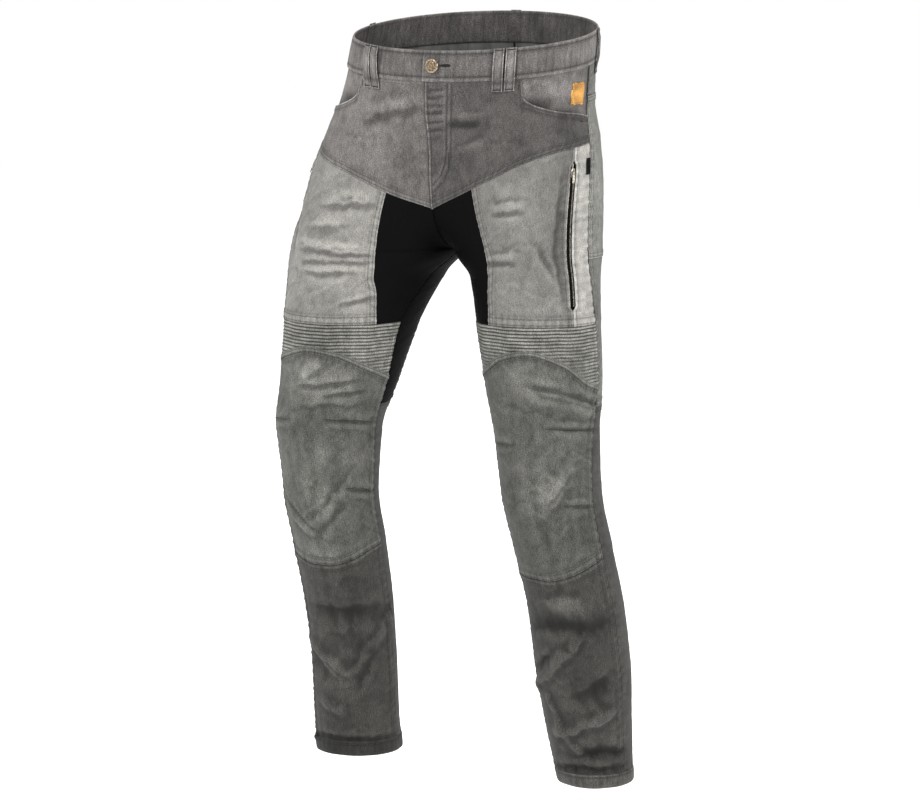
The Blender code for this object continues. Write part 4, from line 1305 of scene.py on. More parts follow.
CREASES: dict[Side, list[Crease]] = {
    Side.RIGHT: [
        Crease((0.19, -0.108), (0.03, -0.083), 0.008, -0.0024),
        Crease((0.20, -0.094), (0.04, -0.070), 0.007, 0.0012),
        Crease((0.32, -0.292), (0.165, -0.297), 0.0042, -0.0034),
        Crease((0.31, -0.307), (0.17, -0.305), 0.0042, -0.0030),
        Crease((0.34, -0.281), (0.17, -0.286), 0.0060, 0.0022),
        Crease((0.32, -0.316), (0.18, -0.314), 0.0046, 0.0016),
        Crease((0.300, -0.232), (0.150, -0.227), 0.0058, -0.0030),
        Crease((0.290, -0.219), (0.160, -0.214), 0.0070, 0.0018),
        Crease((0.295, -0.322), (0.190, -0.319), 0.0040, -0.0022),
        Crease((0.200, -0.361), (0.132, -0.352), 0.0040, -0.0026),
        Crease((0.33, -0.262), (0.22, -0.258), 0.0070, -0.0016),
        Crease((0.42, -0.225), (0.36, -0.300), 0.0080, -0.0022),
        Crease((0.296, -0.459), (0.232, -0.438), 0.0090, 0.0028),
        Crease((0.292, -0.472), (0.140, -0.464), 0.0042, -0.0036),
        Crease((0.222, -0.482), (0.105, -0.479), 0.0040, -0.0030),
        Crease((0.280, -0.492), (0.120, -0.490), 0.0060, 0.0016),
        *dart((0.200, -0.515), (0.045, -0.523)),
        *dart((0.440, -0.524), (0.318, -0.516)),
        *dart((0.150, -0.611), (0.030, -0.620)),
        Crease((0.110, -0.588), (0.290, -0.667), 0.0085, 0.0032, 0.004),
        Crease((0.150, -0.628), (0.260, -0.680), 0.0080, -0.0026),
        Crease((0.395, -0.627), (0.262, -0.668), 0.0018, -0.0018),
        Crease((0.390, -0.641), (0.270, -0.680), 0.0060, 0.0018),
        Crease((0.320, -0.704), (0.180, -0.702), 0.0100, 0.0016),
        Crease((0.360, -0.790), (0.070, -0.788), 0.0150, -0.0046),
        Crease((0.415, -0.838), (0.225, -0.881), 0.0070, 0.0034),
        Crease((0.400, -0.852), (0.270, -0.896), 0.0080, -0.0026),
        Crease((0.300, -0.830), (0.140, -0.822), 0.0120, -0.0020),
        Crease((0.120, -0.855), (0.200, -0.905), 0.0090, -0.0026),
        *folds_between(
            ((0.000, -0.795), (0.055, -0.808), (0.150, -0.846), (0.216, -0.884)), 0.0075, 0.0028
        ),
        Crease((0.360, -0.925), (0.240, -0.940), 0.0080, 0.0022),
        Crease((0.420, -0.974), (0.080, -0.975), 0.0042, -0.0024),
        Crease((0.620, -0.466), (0.880, -0.474), 0.0110, -0.0052),
        Crease((0.620, -0.512), (0.900, -0.504), 0.0110, 0.0042),
        Crease((0.620, -0.547), (0.880, -0.543), 0.0110, -0.0046),
        Crease((0.790, -0.225), (0.930, -0.286), 0.0140, -0.0046),
        Crease((0.660, -0.345), (0.900, -0.325), 0.0140, -0.0036),
        Crease((0.600, -0.842), (0.840, -0.860), 0.0140, -0.0042),
        Crease((0.660, -0.937), (0.900, -0.923), 0.0110, -0.0044),
        Crease((0.560, -0.640), (0.760, -0.700), 0.0120, 0.0030),
        Crease((0.600, -0.780), (0.800, -0.740), 0.0120, -0.0030),
    ],
    Side.LEFT: [
        *[
            Crease((-0.010, level), (0.034, level + 0.003), 0.0024, -0.0017)
            for level in (-0.057, -0.068, -0.081, -0.092, -0.106, -0.118)
        ],
        Crease((0.048, -0.108), (0.130, -0.106), 0.0070, -0.0032),
        Crease((0.060, -0.094), (0.140, -0.092), 0.0070, 0.0016),
        Crease((0.070, -0.150), (0.160, -0.128), 0.0080, 0.0016),
        Crease((0.300, -0.132), (0.400, -0.126), 0.0080, 0.0014),
        Crease((0.215, -0.238), (0.300, -0.236), 0.0048, -0.0030),
        Crease((0.205, -0.226), (0.300, -0.222), 0.0060, 0.0018),
        Crease((0.210, -0.307), (0.280, -0.304), 0.0048, -0.0030),
        Crease((0.210, -0.296), (0.300, -0.292), 0.0060, 0.0016),
        Crease((0.392, -0.180), (0.382, -0.360), 0.0060, -0.0022),
        Crease((0.330, -0.270), (0.380, -0.330), 0.0070, -0.0018),
        *folds_between(((0.255, -0.465), (0.353, -0.477), (0.480, -0.499)), 0.0046, -0.0040),
        *folds_between(((0.255, -0.479), (0.353, -0.491), (0.480, -0.512)), 0.0056, 0.0022),
        *dart((0.306, -0.523), (0.480, -0.531)),
        *dart((0.334, -0.629), (0.440, -0.634)),
        *dart((0.190, -0.545), (0.070, -0.552)),
        Crease((0.372, -0.578), (0.260, -0.622), 0.0090, 0.0036),
        Crease((0.372, -0.602), (0.290, -0.640), 0.0080, -0.0024),
        Crease((0.190, -0.764), (0.310, -0.762), 0.0110, 0.0034),
        Crease((0.100, -0.806), (0.400, -0.797), 0.0125, -0.0052),
        *folds_between(
            ((0.300, -0.815), (0.258, -0.834), (0.180, -0.868), (0.050, -0.905)), 0.0075, 0.0040
        ),
        Crease((0.200, -0.836), (0.060, -0.874), 0.0065, -0.0034),
        Crease((0.400, -0.868), (0.240, -0.908), 0.0140, -0.0050),
        *folds_between(((0.405, -0.921), (0.276, -0.947), (0.140, -0.961)), 0.0070, 0.0042),
        *folds_between(
            ((0.146, -0.900), (0.168, -0.928), (0.218, -0.972), (0.262, -0.992)), 0.0052, 0.0036
        ),
        Crease((0.200, -0.990), (0.430, -0.984), 0.0080, -0.0056),
        Crease((0.110, -1.011), (0.425, -1.009), 0.0048, -0.0040),
        Crease((0.620, -0.466), (0.880, -0.474), 0.0110, -0.0050),
        Crease((0.620, -0.508), (0.900, -0.516), 0.0110, 0.0040),
        Crease((0.620, -0.550), (0.880, -0.546), 0.0110, -0.0044),
        Crease((0.790, -0.218), (0.930, -0.284), 0.0140, -0.0044),
        Crease((0.660, -0.340), (0.900, -0.320), 0.0140, -0.0034),
        Crease((0.600, -0.888), (0.840, -0.872), 0.0140, -0.0040),
        Crease((0.660, -0.966), (0.900, -0.954), 0.0110, -0.0046),
        Crease((0.560, -0.690), (0.760, -0.640), 0.0120, 0.0030),
        Crease((0.600, -0.760), (0.800, -0.800), 0.0120, -0.0030),
    ],
}
# Sewn tucks of the knee
KNEE_TUCKS: dict[Side, tuple[Table, ...]] = {
    Side.RIGHT: (
        ((0.205, -0.515), (0.120, -0.5165), (0.048, -0.523)),
        ((0.430, -0.5225), (0.370, -0.519), (0.335, -0.518)),
        ((0.150, -0.611), (0.090, -0.613), (0.040, -0.6195)),
        ((0.395, -0.627), (0.330, -0.645), (0.268, -0.667)),
    ),
    Side.LEFT: (
        ((0.300, -0.523), (0.380, -0.526), (0.470, -0.5305)),
        ((0.334, -0.6285), (0.390, -0.6295), (0.440, -0.6335)),
        ((0.150, -0.5465), (0.075, -0.5515)),
    ),
}
BASE_CREASES = [
    Crease((0.18, -0.60), (0.32, -0.60), 0.085, 0.0040),
]


@dataclass(frozen=True)
class Seams:
    """The sewn edges that several panels share."""

    plain: Border = Border()
    yoke: Border = Border(
        0.0092, 0.0009, (0.0026, 0.0074), 0.0004, 0.012, 0.011, 0.16, 0.0, rim=0.50
    )
    mouth: Border = Border(
        0.0078, 0.0009, (0.0030, 0.0068), 0.0004, 0.008, 0.012, 0.10, 0.0,
        tuck=0.0003, rim=1.7, only=(0.231, 0.6),
    )
    fly: Border = Border(
        0.0, 0.0, (0.0030,), 0.0003, 0.006, 0.012, 0.0, 0.0, tuck=0.0003, rim=1.5
    )
    insert: Border = Border(
        0.0120, 0.0010, (0.0030, 0.0092), 0.0006, 0.014, 0.012, 0.16, 0.0, rim=0.35
    )
    zip_welt: Border = Border(0.0060, 0.0013, (0.0046,), 0.0005, 0.012, 0.012, 0.14, 0.0, rim=0.2)
    thigh_foot: Border = Border(0.0135, 0.0008, (0.0030, 0.0108), 0.0006, 0.014, 0.010, 0.12)
    arch_welt: Border = Border(
        0.0066, 0.0015, (0.0018, 0.0050), 0.0002, 0.006, 0.008, 0.22, 0.55
    )
    knee_top: Border = Border(0.0040, 0.0005, (0.0030,), 0.0004, 0.012, 0.009, 0.25)
    inseam: Border = Border(
        0.0096, 0.0009, (0.0026, 0.0076), 0.0007, 0.014, 0.0125, 0.30, 0.1, rim=0.25
    )
    outseam: Border = Border(
        0.0100, 0.0009, (0.0028, 0.0080), 0.0008, 0.015, 0.0135, 0.30, 0.1, rim=0.30
    )
    knee_foot: Border = Border(0.0104, 0.0006, (0.0026, 0.0086), 0.0005, 0.012, 0.012, 0.26, 0.3)
    shin_top: Border = Border(0.0078, 0.0010, (0.0062,), 0.0003, 0.008, 0.009, 0.95, 0.45)
    gathered: Border = Border(0.0, 0.0, (), 0.0008, 0.018, 0.0145)
    cuff: Border = Border(0.0, 0.0, (), 0.0010, 0.018, 0.0145, tuck=0.0002)


@dataclass
class TrouserSide:
    """All cloth panels of one side, from the waistband's seam to the hem."""

    side: Side
    wardrobe: Wardrobe
    seams: Seams = Seams()
    rib_pitch: float = 0.00455
    rib_height: float = 0.0021
    yoke_grey: float = 111.0
    thigh_grey: float = 143.0
    side_grey: float = 178.0
    rib_grey: float = 124.0
    knee_grey: float = 90.0
    shin_grey: float = 61.0
    back_grey: float = 108.0
    black: float = 14.0
    surface: ClothSurface = field(init=False)
    panels: dict[str, Panel] = field(default_factory=dict)
    fly_stitching: tuple[Table, ...] = (
        ((0.038, -0.046), (0.041, -0.100), (0.047, -0.150), (0.042, -0.170), (0.029, -0.186),
         (0.006, -0.198)),
        ((0.050, -0.046), (0.053, -0.102), (0.060, -0.152), (0.055, -0.176), (0.038, -0.195),
         (0.006, -0.209)),
    )

    def __post_init__(self) -> None:
        """Gives the side its folded surface and its own tones."""
        self.surface = ClothSurface(self.side, BASE_CREASES + CREASES[self.side])
        if self.side is Side.LEFT:
            self.thigh_grey, self.yoke_grey, self.knee_grey = 126.0, 80.0, 89.0

    def off_line(self, grid: Lattice, places: Table) -> np.ndarray:
        """Distance in metres of each point from a bent line of (u, level) places."""
        scale = self.surface.metres_per_u(grid.level)
        best = np.full(grid.u.shape, 1.0)
        for a, b in zip(places[:-1], places[1:]):
            run = np.array([(b[0] - a[0]) * 0.5, b[1] - a[1]])
            at = np.stack([(grid.u - a[0]) * scale, grid.level - a[1]], -1)
            share = np.clip((at @ run) / (run @ run), 0, 1)[..., None]
            best = np.minimum(best, np.linalg.norm(at - run * share, axis=-1))
        return best

    def fly_lines(self, grid: Lattice) -> np.ndarray:
        """Furrows of the fly's two stitch lines: -0.4 mm * exp(-(d / 1 mm) ** 2)."""
        made = np.zeros(grid.u.shape)
        for line in self.fly_stitching:
            made -= 0.0004 * np.exp(-((self.off_line(grid, line) / 0.0011) ** 2))
        return made

    def fly_shade(self, grid: Lattice) -> np.ndarray:
        """Left: painted shade in the fly's stitch furrows and paler cloth between them. Right: the
        painted shadow beside the lapped edge."""
        made = np.ones(grid.u.shape)
        if self.side is Side.LEFT:
            for line in self.fly_stitching:
                away = self.off_line(grid, line)
                made *= 1 - 0.52 * np.exp(-((away / 0.0013) ** 2))
            middle = self.off_line(grid, self.fly_stitching[0])
            return made * (1 + 0.30 * np.exp(-(((middle - 0.0035) / 0.002) ** 2)))
        # Painted shadow of the left front's lapped edge on the right one.
        beside = grid.u + seam(FLY_EDGE)(grid.level)
        return made * (1 - 0.68 * np.exp(-((np.clip(beside, 0, 1) / 0.0055) ** 2)))

    def named(self, piece: str) -> str:
        """A piece's name with its side."""
        return f"{piece}_{self.side.label}"

    def gape(self, level: np.ndarray) -> np.ndarray:
        """Half the zip's opening as a width in u: closed at both ends, wide between."""
        top = smooth_step((ZIP_TOP - level) / ZIP_END)
        foot = smooth_step((level - ZIP_BOTTOM) / ZIP_END)
        return top * foot * ZIP_GAPE / 2 / 0.56

    def lap(self, u: np.ndarray, level: np.ndarray) -> np.ndarray:
        """How far the left front stands out where it laps the right one at the fly."""
        reach = np.clip(1 - u / LAP_RAMP, 0, 1)
        return np.where(level > CROTCH, 0.0021 * smooth_step(reach), 0.0)

    def yoke_top(self, u: np.ndarray) -> np.ndarray:
        """The yoke's upper edge: the waist seam, then the pocket mouth."""
        mouth = seam(POCKET_MOUTH)(np.clip(u, POCKET_MOUTH[0][0], 0.5))
        return np.where(u > POCKET_MOUTH[0][0], mouth, WAIST_SEAM + 0.003)

    def ribs(self, grid: Lattice) -> np.ndarray:
        """Ribs as rounded waves with sharp grooves: |sin(pi * drop / pitch)| ** 0.6, fading
        out at the panel's edges."""
        drop = RIB_TOP - grid.level + 0.0006 * wander(grid.u * 41, 0.4)
        wave = np.abs(np.sin(np.pi * drop / self.rib_pitch)) ** 0.6
        fade = smooth_step((grid.away[Edge.BOTTOM] - 0.0055) / 0.004)
        fade = fade * smooth_step((grid.away[Edge.START] - 0.009) / 0.006)
        fade = fade * smooth_step((grid.away[Edge.END] - 0.009) / 0.006)
        return self.rib_height * (wave - 0.55) * fade

    def rib_shade(self, grid: Lattice) -> np.ndarray:
        """Ribs' shading: painted shade in the grooves and paler crests, partly wear and partly painted
        highlight, with random patches.
        """
        drop = RIB_TOP - grid.level + 0.0006 * wander(grid.u * 41, 0.4)
        wave = np.abs(np.sin(np.pi * drop / self.rib_pitch)) ** 1.1
        patchy = 1 + 0.16 * wander(grid.u * 47 + grid.level * 260, 0.9)
        fade = smooth_step((grid.away[Edge.BOTTOM] - 0.0055) / 0.003)
        return 1 + ((0.05 + 1.50 * wave) * patchy - 1) * fade

    def make(self, piece: str, **sizes: object) -> Panel:
        """Builds one panel and keeps it by its short name."""
        width, length, area = CUTS[piece][0 if self.side is Side.LEFT else 1]
        panel = Panel(
            name=self.named(piece), surface=self.surface, cut=(width, length), area=area, **sizes
        )
        built = panel.build(self.wardrobe)
        self.decorate(piece, panel)
        panel.declare(self.wardrobe)
        self.panels[piece] = panel
        return panel

    def decorate(self, piece: str, panel: Panel) -> None:
        """Adds the stitch lines that cross a panel."""
        sewing = panel.sewing
        if piece == "front_yoke" and self.side is Side.LEFT:
            for line in self.fly_stitching:
                sewing.row(*panel.cloth_path(line, 160))
            sewing.bar(*panel.cloth_path(((0.053, -0.146), (0.054, -0.163)), 14))
            sewing.bar(*panel.cloth_path(((0.004, -0.203), (0.018, -0.199)), 14))
        if piece == "front_yoke":
            sewing.bar(*panel.cloth_path(((0.226, -0.050), (0.226, -0.058)), 12))
            sewing.bar(*panel.cloth_path(((0.452, -0.111), (0.468, -0.113)), 12))
        if piece == "knee_panel":
            for line in KNEE_TUCKS[self.side]:
                # The dark row along the fold is painted shade in the crease; the row above it is the tuck's
                # stitching.
                sewing.row(*panel.cloth_path(line, 80), TUCK_SHADE_THREAD, 26.0)
                above = tuple((u, level + 0.0032) for u, level in line)
                sewing.row(*panel.cloth_path(above, 80))

    def build(self) -> None:
        """Builds every panel of the side."""
        self.build_upper()
        self.build_lower()

    def build_upper(self) -> None:
        """Yokes, facing, thigh and insert panels, and the seat."""
        s, wardrobe, left = self.seams, self.wardrobe, self.side is Side.LEFT
        fly = seam(FLY_EDGE) if left else constant(0.0)
        yoke, zip_seam = seam(YOKE_SEAM[self.side]), seam(ZIP_SEAM)
        insert, outseam = seam(INSERT_EDGE[self.side]), seam(OUTSEAM)
        gap = -0.0003
        centre_front = lambda level: np.where(level > CROTCH, 0.0, seam(INSEAM)(level) - 0.0001)
        centre_back = lambda level: np.where(level > CROTCH, 1.0, seam(INSEAM)(level) + 1.0001)
        self.make(
            "front_yoke", start=fly, end=constant(0.4994), top=self.yoke_top,
            bottom=lambda u: yoke(u) + gap, tone=self.yoke_wash(), finish=wardrobe.yoke,
            borders={
                Edge.START: s.fly if left else Border(),
                Edge.END: s.gathered, Edge.TOP: s.mouth, Edge.BOTTOM: s.yoke,
            },
            cell=(0.0016, 0.0018) if left else (0.0022, 0.0026),
            offset=self.lap if left else None, relief=self.fly_lines if left else None,
            glow=self.fly_shade, crumpled=0.0004, phase=0.7,
        )
        self.make(
            "pocket_facing", start=constant(0.207), end=constant(0.4992),
            top=constant(WAIST_SEAM + 0.003),
            bottom=lambda u: seam(POCKET_MOUTH)(np.clip(u, 0.2345, 0.5)) - 0.013,
            # The facing's tone: a painted shadow under the pocket mouth and a painted highlight near its
            # top.
            tone=Wash(112.0, (
                Fade((0.285, -0.085), (0.060, 0.014), -0.80),
                Fade((0.40, -0.100), (0.060, 0.008), -0.45),
                Fade((0.37, -0.066), (0.09, 0.012), 0.40),
            )),
            finish=wardrobe.yoke, borders={}, thickness=0.0011, phase=1.4,
            offset=lambda u, level: np.full(u.shape, -0.0024),
        )
        self.make(
            "thigh_front", start=insert, end=lambda level: zip_seam(level) - self.gape(level),
            top=lambda u: yoke(u) - gap, bottom=constant(RIB_TOP + gap),
            tone=self.thigh_wash(), finish=wardrobe.faded,
            borders={
                Edge.START: s.insert, Edge.END: s.zip_welt, Edge.TOP: s.plain,
                Edge.BOTTOM: s.thigh_foot,
            },
            cell=(0.0030, 0.0030), phase=2.1,
        )
        self.make(
            "thigh_side", start=lambda level: zip_seam(level) + self.gape(level),
            end=lambda level: outseam(level) + 0.0001, top=lambda u: yoke(u) - gap,
            bottom=constant(RIB_TOP + gap),
            tone=Wash(self.side_grey, (Fade((0.46, -0.38), (0.05, 0.03), -0.2),)),
            finish=wardrobe.faded,
            borders={
                Edge.START: s.zip_welt, Edge.END: s.gathered, Edge.TOP: s.plain,
                Edge.BOTTOM: s.thigh_foot,
            },
            phase=2.9,
        )
        self.make(
            "front_insert", start=centre_front, end=lambda level: insert(level) + 0.0002,
            top=lambda u: yoke(u) - gap, bottom=constant(RIB_TOP + gap),
            tone=Wash(self.black), finish=wardrobe.stretch,
            borders={
                Edge.START: Border(pucker=0.0005), Edge.END: s.plain, Edge.TOP: s.plain,
                Edge.BOTTOM: s.plain,
            },
            thread_grey=24.0, phase=3.3,
        )
        self.make(
            "back_insert", start=lambda level: seam(INSERT_BACK_EDGE)(level) - 0.0002,
            end=centre_back, top=lambda u: seam(SEAT_FOOT)(u) - gap,
            bottom=constant(KNEE_BACK_SEAM + gap), tone=Wash(self.black),
            finish=wardrobe.stretch,
            borders={
                Edge.START: s.plain, Edge.END: Border(pucker=0.0006), Edge.TOP: s.plain,
                Edge.BOTTOM: s.plain,
            },
            thread_grey=24.0, phase=3.9,
        )
        self.make(
            "back_yoke", start=constant(0.4999), end=constant(1.0),
            top=constant(WAIST_SEAM + 0.003), bottom=lambda u: seam(BACK_YOKE_SEAM)(u) + gap,
            tone=Wash(self.back_grey), finish=wardrobe.denim,
            borders={
                Edge.START: s.gathered, Edge.END: s.plain, Edge.TOP: s.plain,
                Edge.BOTTOM: s.plain,
            },
            phase=4.4,
        )
        self.make(
            "seat", start=lambda level: outseam(level) - 0.0001, end=constant(1.0),
            top=lambda u: seam(BACK_YOKE_SEAM)(u) - gap,
            bottom=lambda u: seam(SEAT_FOOT)(u) + gap,
            tone=Wash(self.back_grey + 6, (
                Fade((0.78, -0.18), (0.14, 0.07), 0.18), Fade((0.50, -0.22), (0.08, 0.10), 0.45),
            )),
            finish=wardrobe.denim,
            borders={
                Edge.START: s.outseam, Edge.END: s.inseam, Edge.TOP: s.yoke,
                Edge.BOTTOM: s.yoke,
            },
            phase=5.0,
        )
        self.make(
            "thigh_back", start=lambda level: outseam(level) - 0.0001,
            end=seam(INSERT_BACK_EDGE), top=lambda u: seam(SEAT_FOOT)(u) - gap,
            bottom=constant(KNEE_BACK_SEAM + gap),
            tone=Wash(self.back_grey, (Fade((0.72, -0.40), (0.12, 0.06), 0.12),)),
            finish=wardrobe.denim,
            borders={
                Edge.START: s.outseam, Edge.END: s.inseam, Edge.TOP: s.plain,
                Edge.BOTTOM: s.yoke,
            },
            phase=5.6,
        )

    def build_lower(self) -> None:
        """The ribbed panel, knee, shin and calf."""
        s, wardrobe = self.seams, self.wardrobe
        arch, foot = seam(KNEE_ARCH[self.side]), seam(KNEE_FOOT[self.side])
        inseam, outseam = seam(INSEAM), seam(OUTSEAM)
        hem = HEM_LEVEL[self.side] + HEM_HEIGHT
        gap = -0.0003
        start = lambda level: inseam(level) - 0.0001
        end = lambda level: outseam(level) + 0.0001
        self.make(
            "ribbed_panel", start=start, end=end, top=constant(RIB_TOP - gap),
            bottom=lambda u: arch(u) + gap, tone=Wash(self.rib_grey), finish=wardrobe.denim,
            borders={
                Edge.START: s.inseam, Edge.END: s.outseam, Edge.TOP: s.plain,
                Edge.BOTTOM: s.arch_welt,
            },
            cell=(0.0034, 0.00056), relief=self.ribs, glow=self.rib_shade, phase=0.4,
        )
        self.make(
            "knee_panel", start=start, end=end, top=lambda u: arch(u) - gap,
            bottom=lambda u: foot(u) + gap, tone=self.knee_wash(), finish=wardrobe.denim,
            borders={
                Edge.START: s.inseam, Edge.END: s.outseam, Edge.TOP: s.knee_top,
                Edge.BOTTOM: s.knee_foot,
            },
            cell=(0.0028, 0.0028), phase=1.1,
        )
        self.make(
            "shin_front", start=start, end=end, top=lambda u: foot(u) - gap,
            bottom=constant(hem - 0.003), tone=self.shin_wash(), finish=wardrobe.dark,
            borders={
                Edge.START: s.inseam, Edge.END: s.outseam, Edge.TOP: s.shin_top,
                Edge.BOTTOM: s.cuff,
            },
            cell=(0.0030, 0.0030), phase=1.7,
        )
        self.make(
            "calf_back", start=lambda level: outseam(level) - 0.0001,
            end=lambda level: inseam(level) + 1.0001, top=constant(KNEE_BACK_SEAM - gap),
            bottom=constant(hem - 0.003), tone=Wash(self.shin_grey), finish=wardrobe.dark,
            borders={
                Edge.START: s.gathered, Edge.END: s.gathered, Edge.TOP: s.yoke,
                Edge.BOTTOM: s.cuff,
            },
            phase=2.5,
        )

    def yoke_wash(self) -> Wash:
        """The front yoke's tone spots: painted shade along a crease across each yoke and near the right
        yoke's fly, a painted highlight on the left yoke's ridge above its crease, and other paler and
        darker spots.
        """
        if self.side is Side.RIGHT:
            return Wash(self.yoke_grey, (
                Fade((0.30, -0.13), (0.12, 0.06), 0.16),
                Fade((0.10, -0.108), (0.10, 0.008), -0.22),
                Fade((0.03, -0.18), (0.05, 0.05), -0.12),
            ))
        return Wash(self.yoke_grey, (
            Fade((0.10, -0.110), (0.06, 0.011), -0.50),
            Fade((0.09, -0.088), (0.05, 0.008), 0.22),
            Fade((0.20, -0.145), (0.08, 0.03), 0.30),
            Fade((0.02, -0.15), (0.03, 0.08), 0.08),
            Fade((0.42, -0.13), (0.08, 0.02), -0.12),
        ))

    def thigh_wash(self) -> Wash:
        """The thigh's tone spots: palest down its middle, with painted shade along its creases."""
        if self.side is Side.RIGHT:
            return Wash(self.thigh_grey, (
                Fade((0.22, -0.26), (0.07, 0.08), 0.20),
                Fade((0.24, -0.300), (0.08, 0.010), -0.16),
                Fade((0.40, -0.28), (0.05, 0.12), -0.10),
            ))
        return Wash(self.thigh_grey, (
            Fade((0.27, -0.215), (0.035, 0.03), 0.30),
            Fade((0.39, -0.27), (0.022, 0.09), -0.38),
            Fade((0.19, -0.26), (0.03, 0.12), -0.12),
            Fade((0.24, -0.34), (0.06, 0.03), 0.12),
        ))

    def knee_wash(self) -> Wash:
        """The knee's tone spots: pale over its top, partly wear and partly painted highlight; painted
        highlights along its fold ridges; painted shade beside the right knee's upper tucks; and darker
        spots lower down.
        """
        if self.side is Side.RIGHT:
            return Wash(self.knee_grey, (
                Fade((0.25, -0.458), (0.10, 0.028), 0.95),
                Fade((0.22, -0.560), (0.09, 0.050), 0.14),
                Fade((0.26, -0.702), (0.07, 0.014), 0.42),
                Fade((0.23, -0.633), (0.05, 0.030), 0.30),
                Fade((0.29, -0.530), (0.10, 0.012), -0.16),
                Fade((0.10, -0.66), (0.06, 0.05), -0.20),
            ))
        return Wash(self.knee_grey, (
            Fade((0.25, -0.455), (0.11, 0.026), 0.60),
            Fade((0.31, -0.605), (0.05, 0.030), 0.34),
            Fade((0.20, -0.560), (0.08, 0.050), 0.10),
            Fade((0.20, -0.690), (0.12, 0.030), -0.30),
            Fade((0.38, -0.665), (0.05, 0.030), -0.28),
        ))

    def shin_wash(self) -> Wash:
        """The shin's tone spots: painted highlights on its fold ridges, painted shade in its hollows, and a
        painted shadow along the hem's top edge.
        """
        if self.side is Side.RIGHT:
            return Wash(self.shin_grey, (
                Fade((0.21, -0.790), (0.14, 0.018), -0.40),
                Fade((0.28, -0.886), (0.05, 0.026), 0.46),
                Fade((0.12, -0.880), (0.05, 0.050), -0.18),
                Fade((0.20, -0.9785), (0.60, 0.0034), -0.60),
            ))
        return Wash(self.shin_grey, (
            Fade((0.235, -0.764), (0.07, 0.014), 0.62),
            Fade((0.250, -0.802), (0.14, 0.012), -0.42),
            Fade((0.180, -0.862), (0.05, 0.016), 0.34),
            Fade((0.330, -0.889), (0.07, 0.018), -0.42),
            Fade((0.300, -0.943), (0.11, 0.010), 0.34),
            Fade((0.330, -0.987), (0.12, 0.010), -0.50),
            Fade((0.270, -1.0140), (0.25, 0.0032), -0.60),
        ))


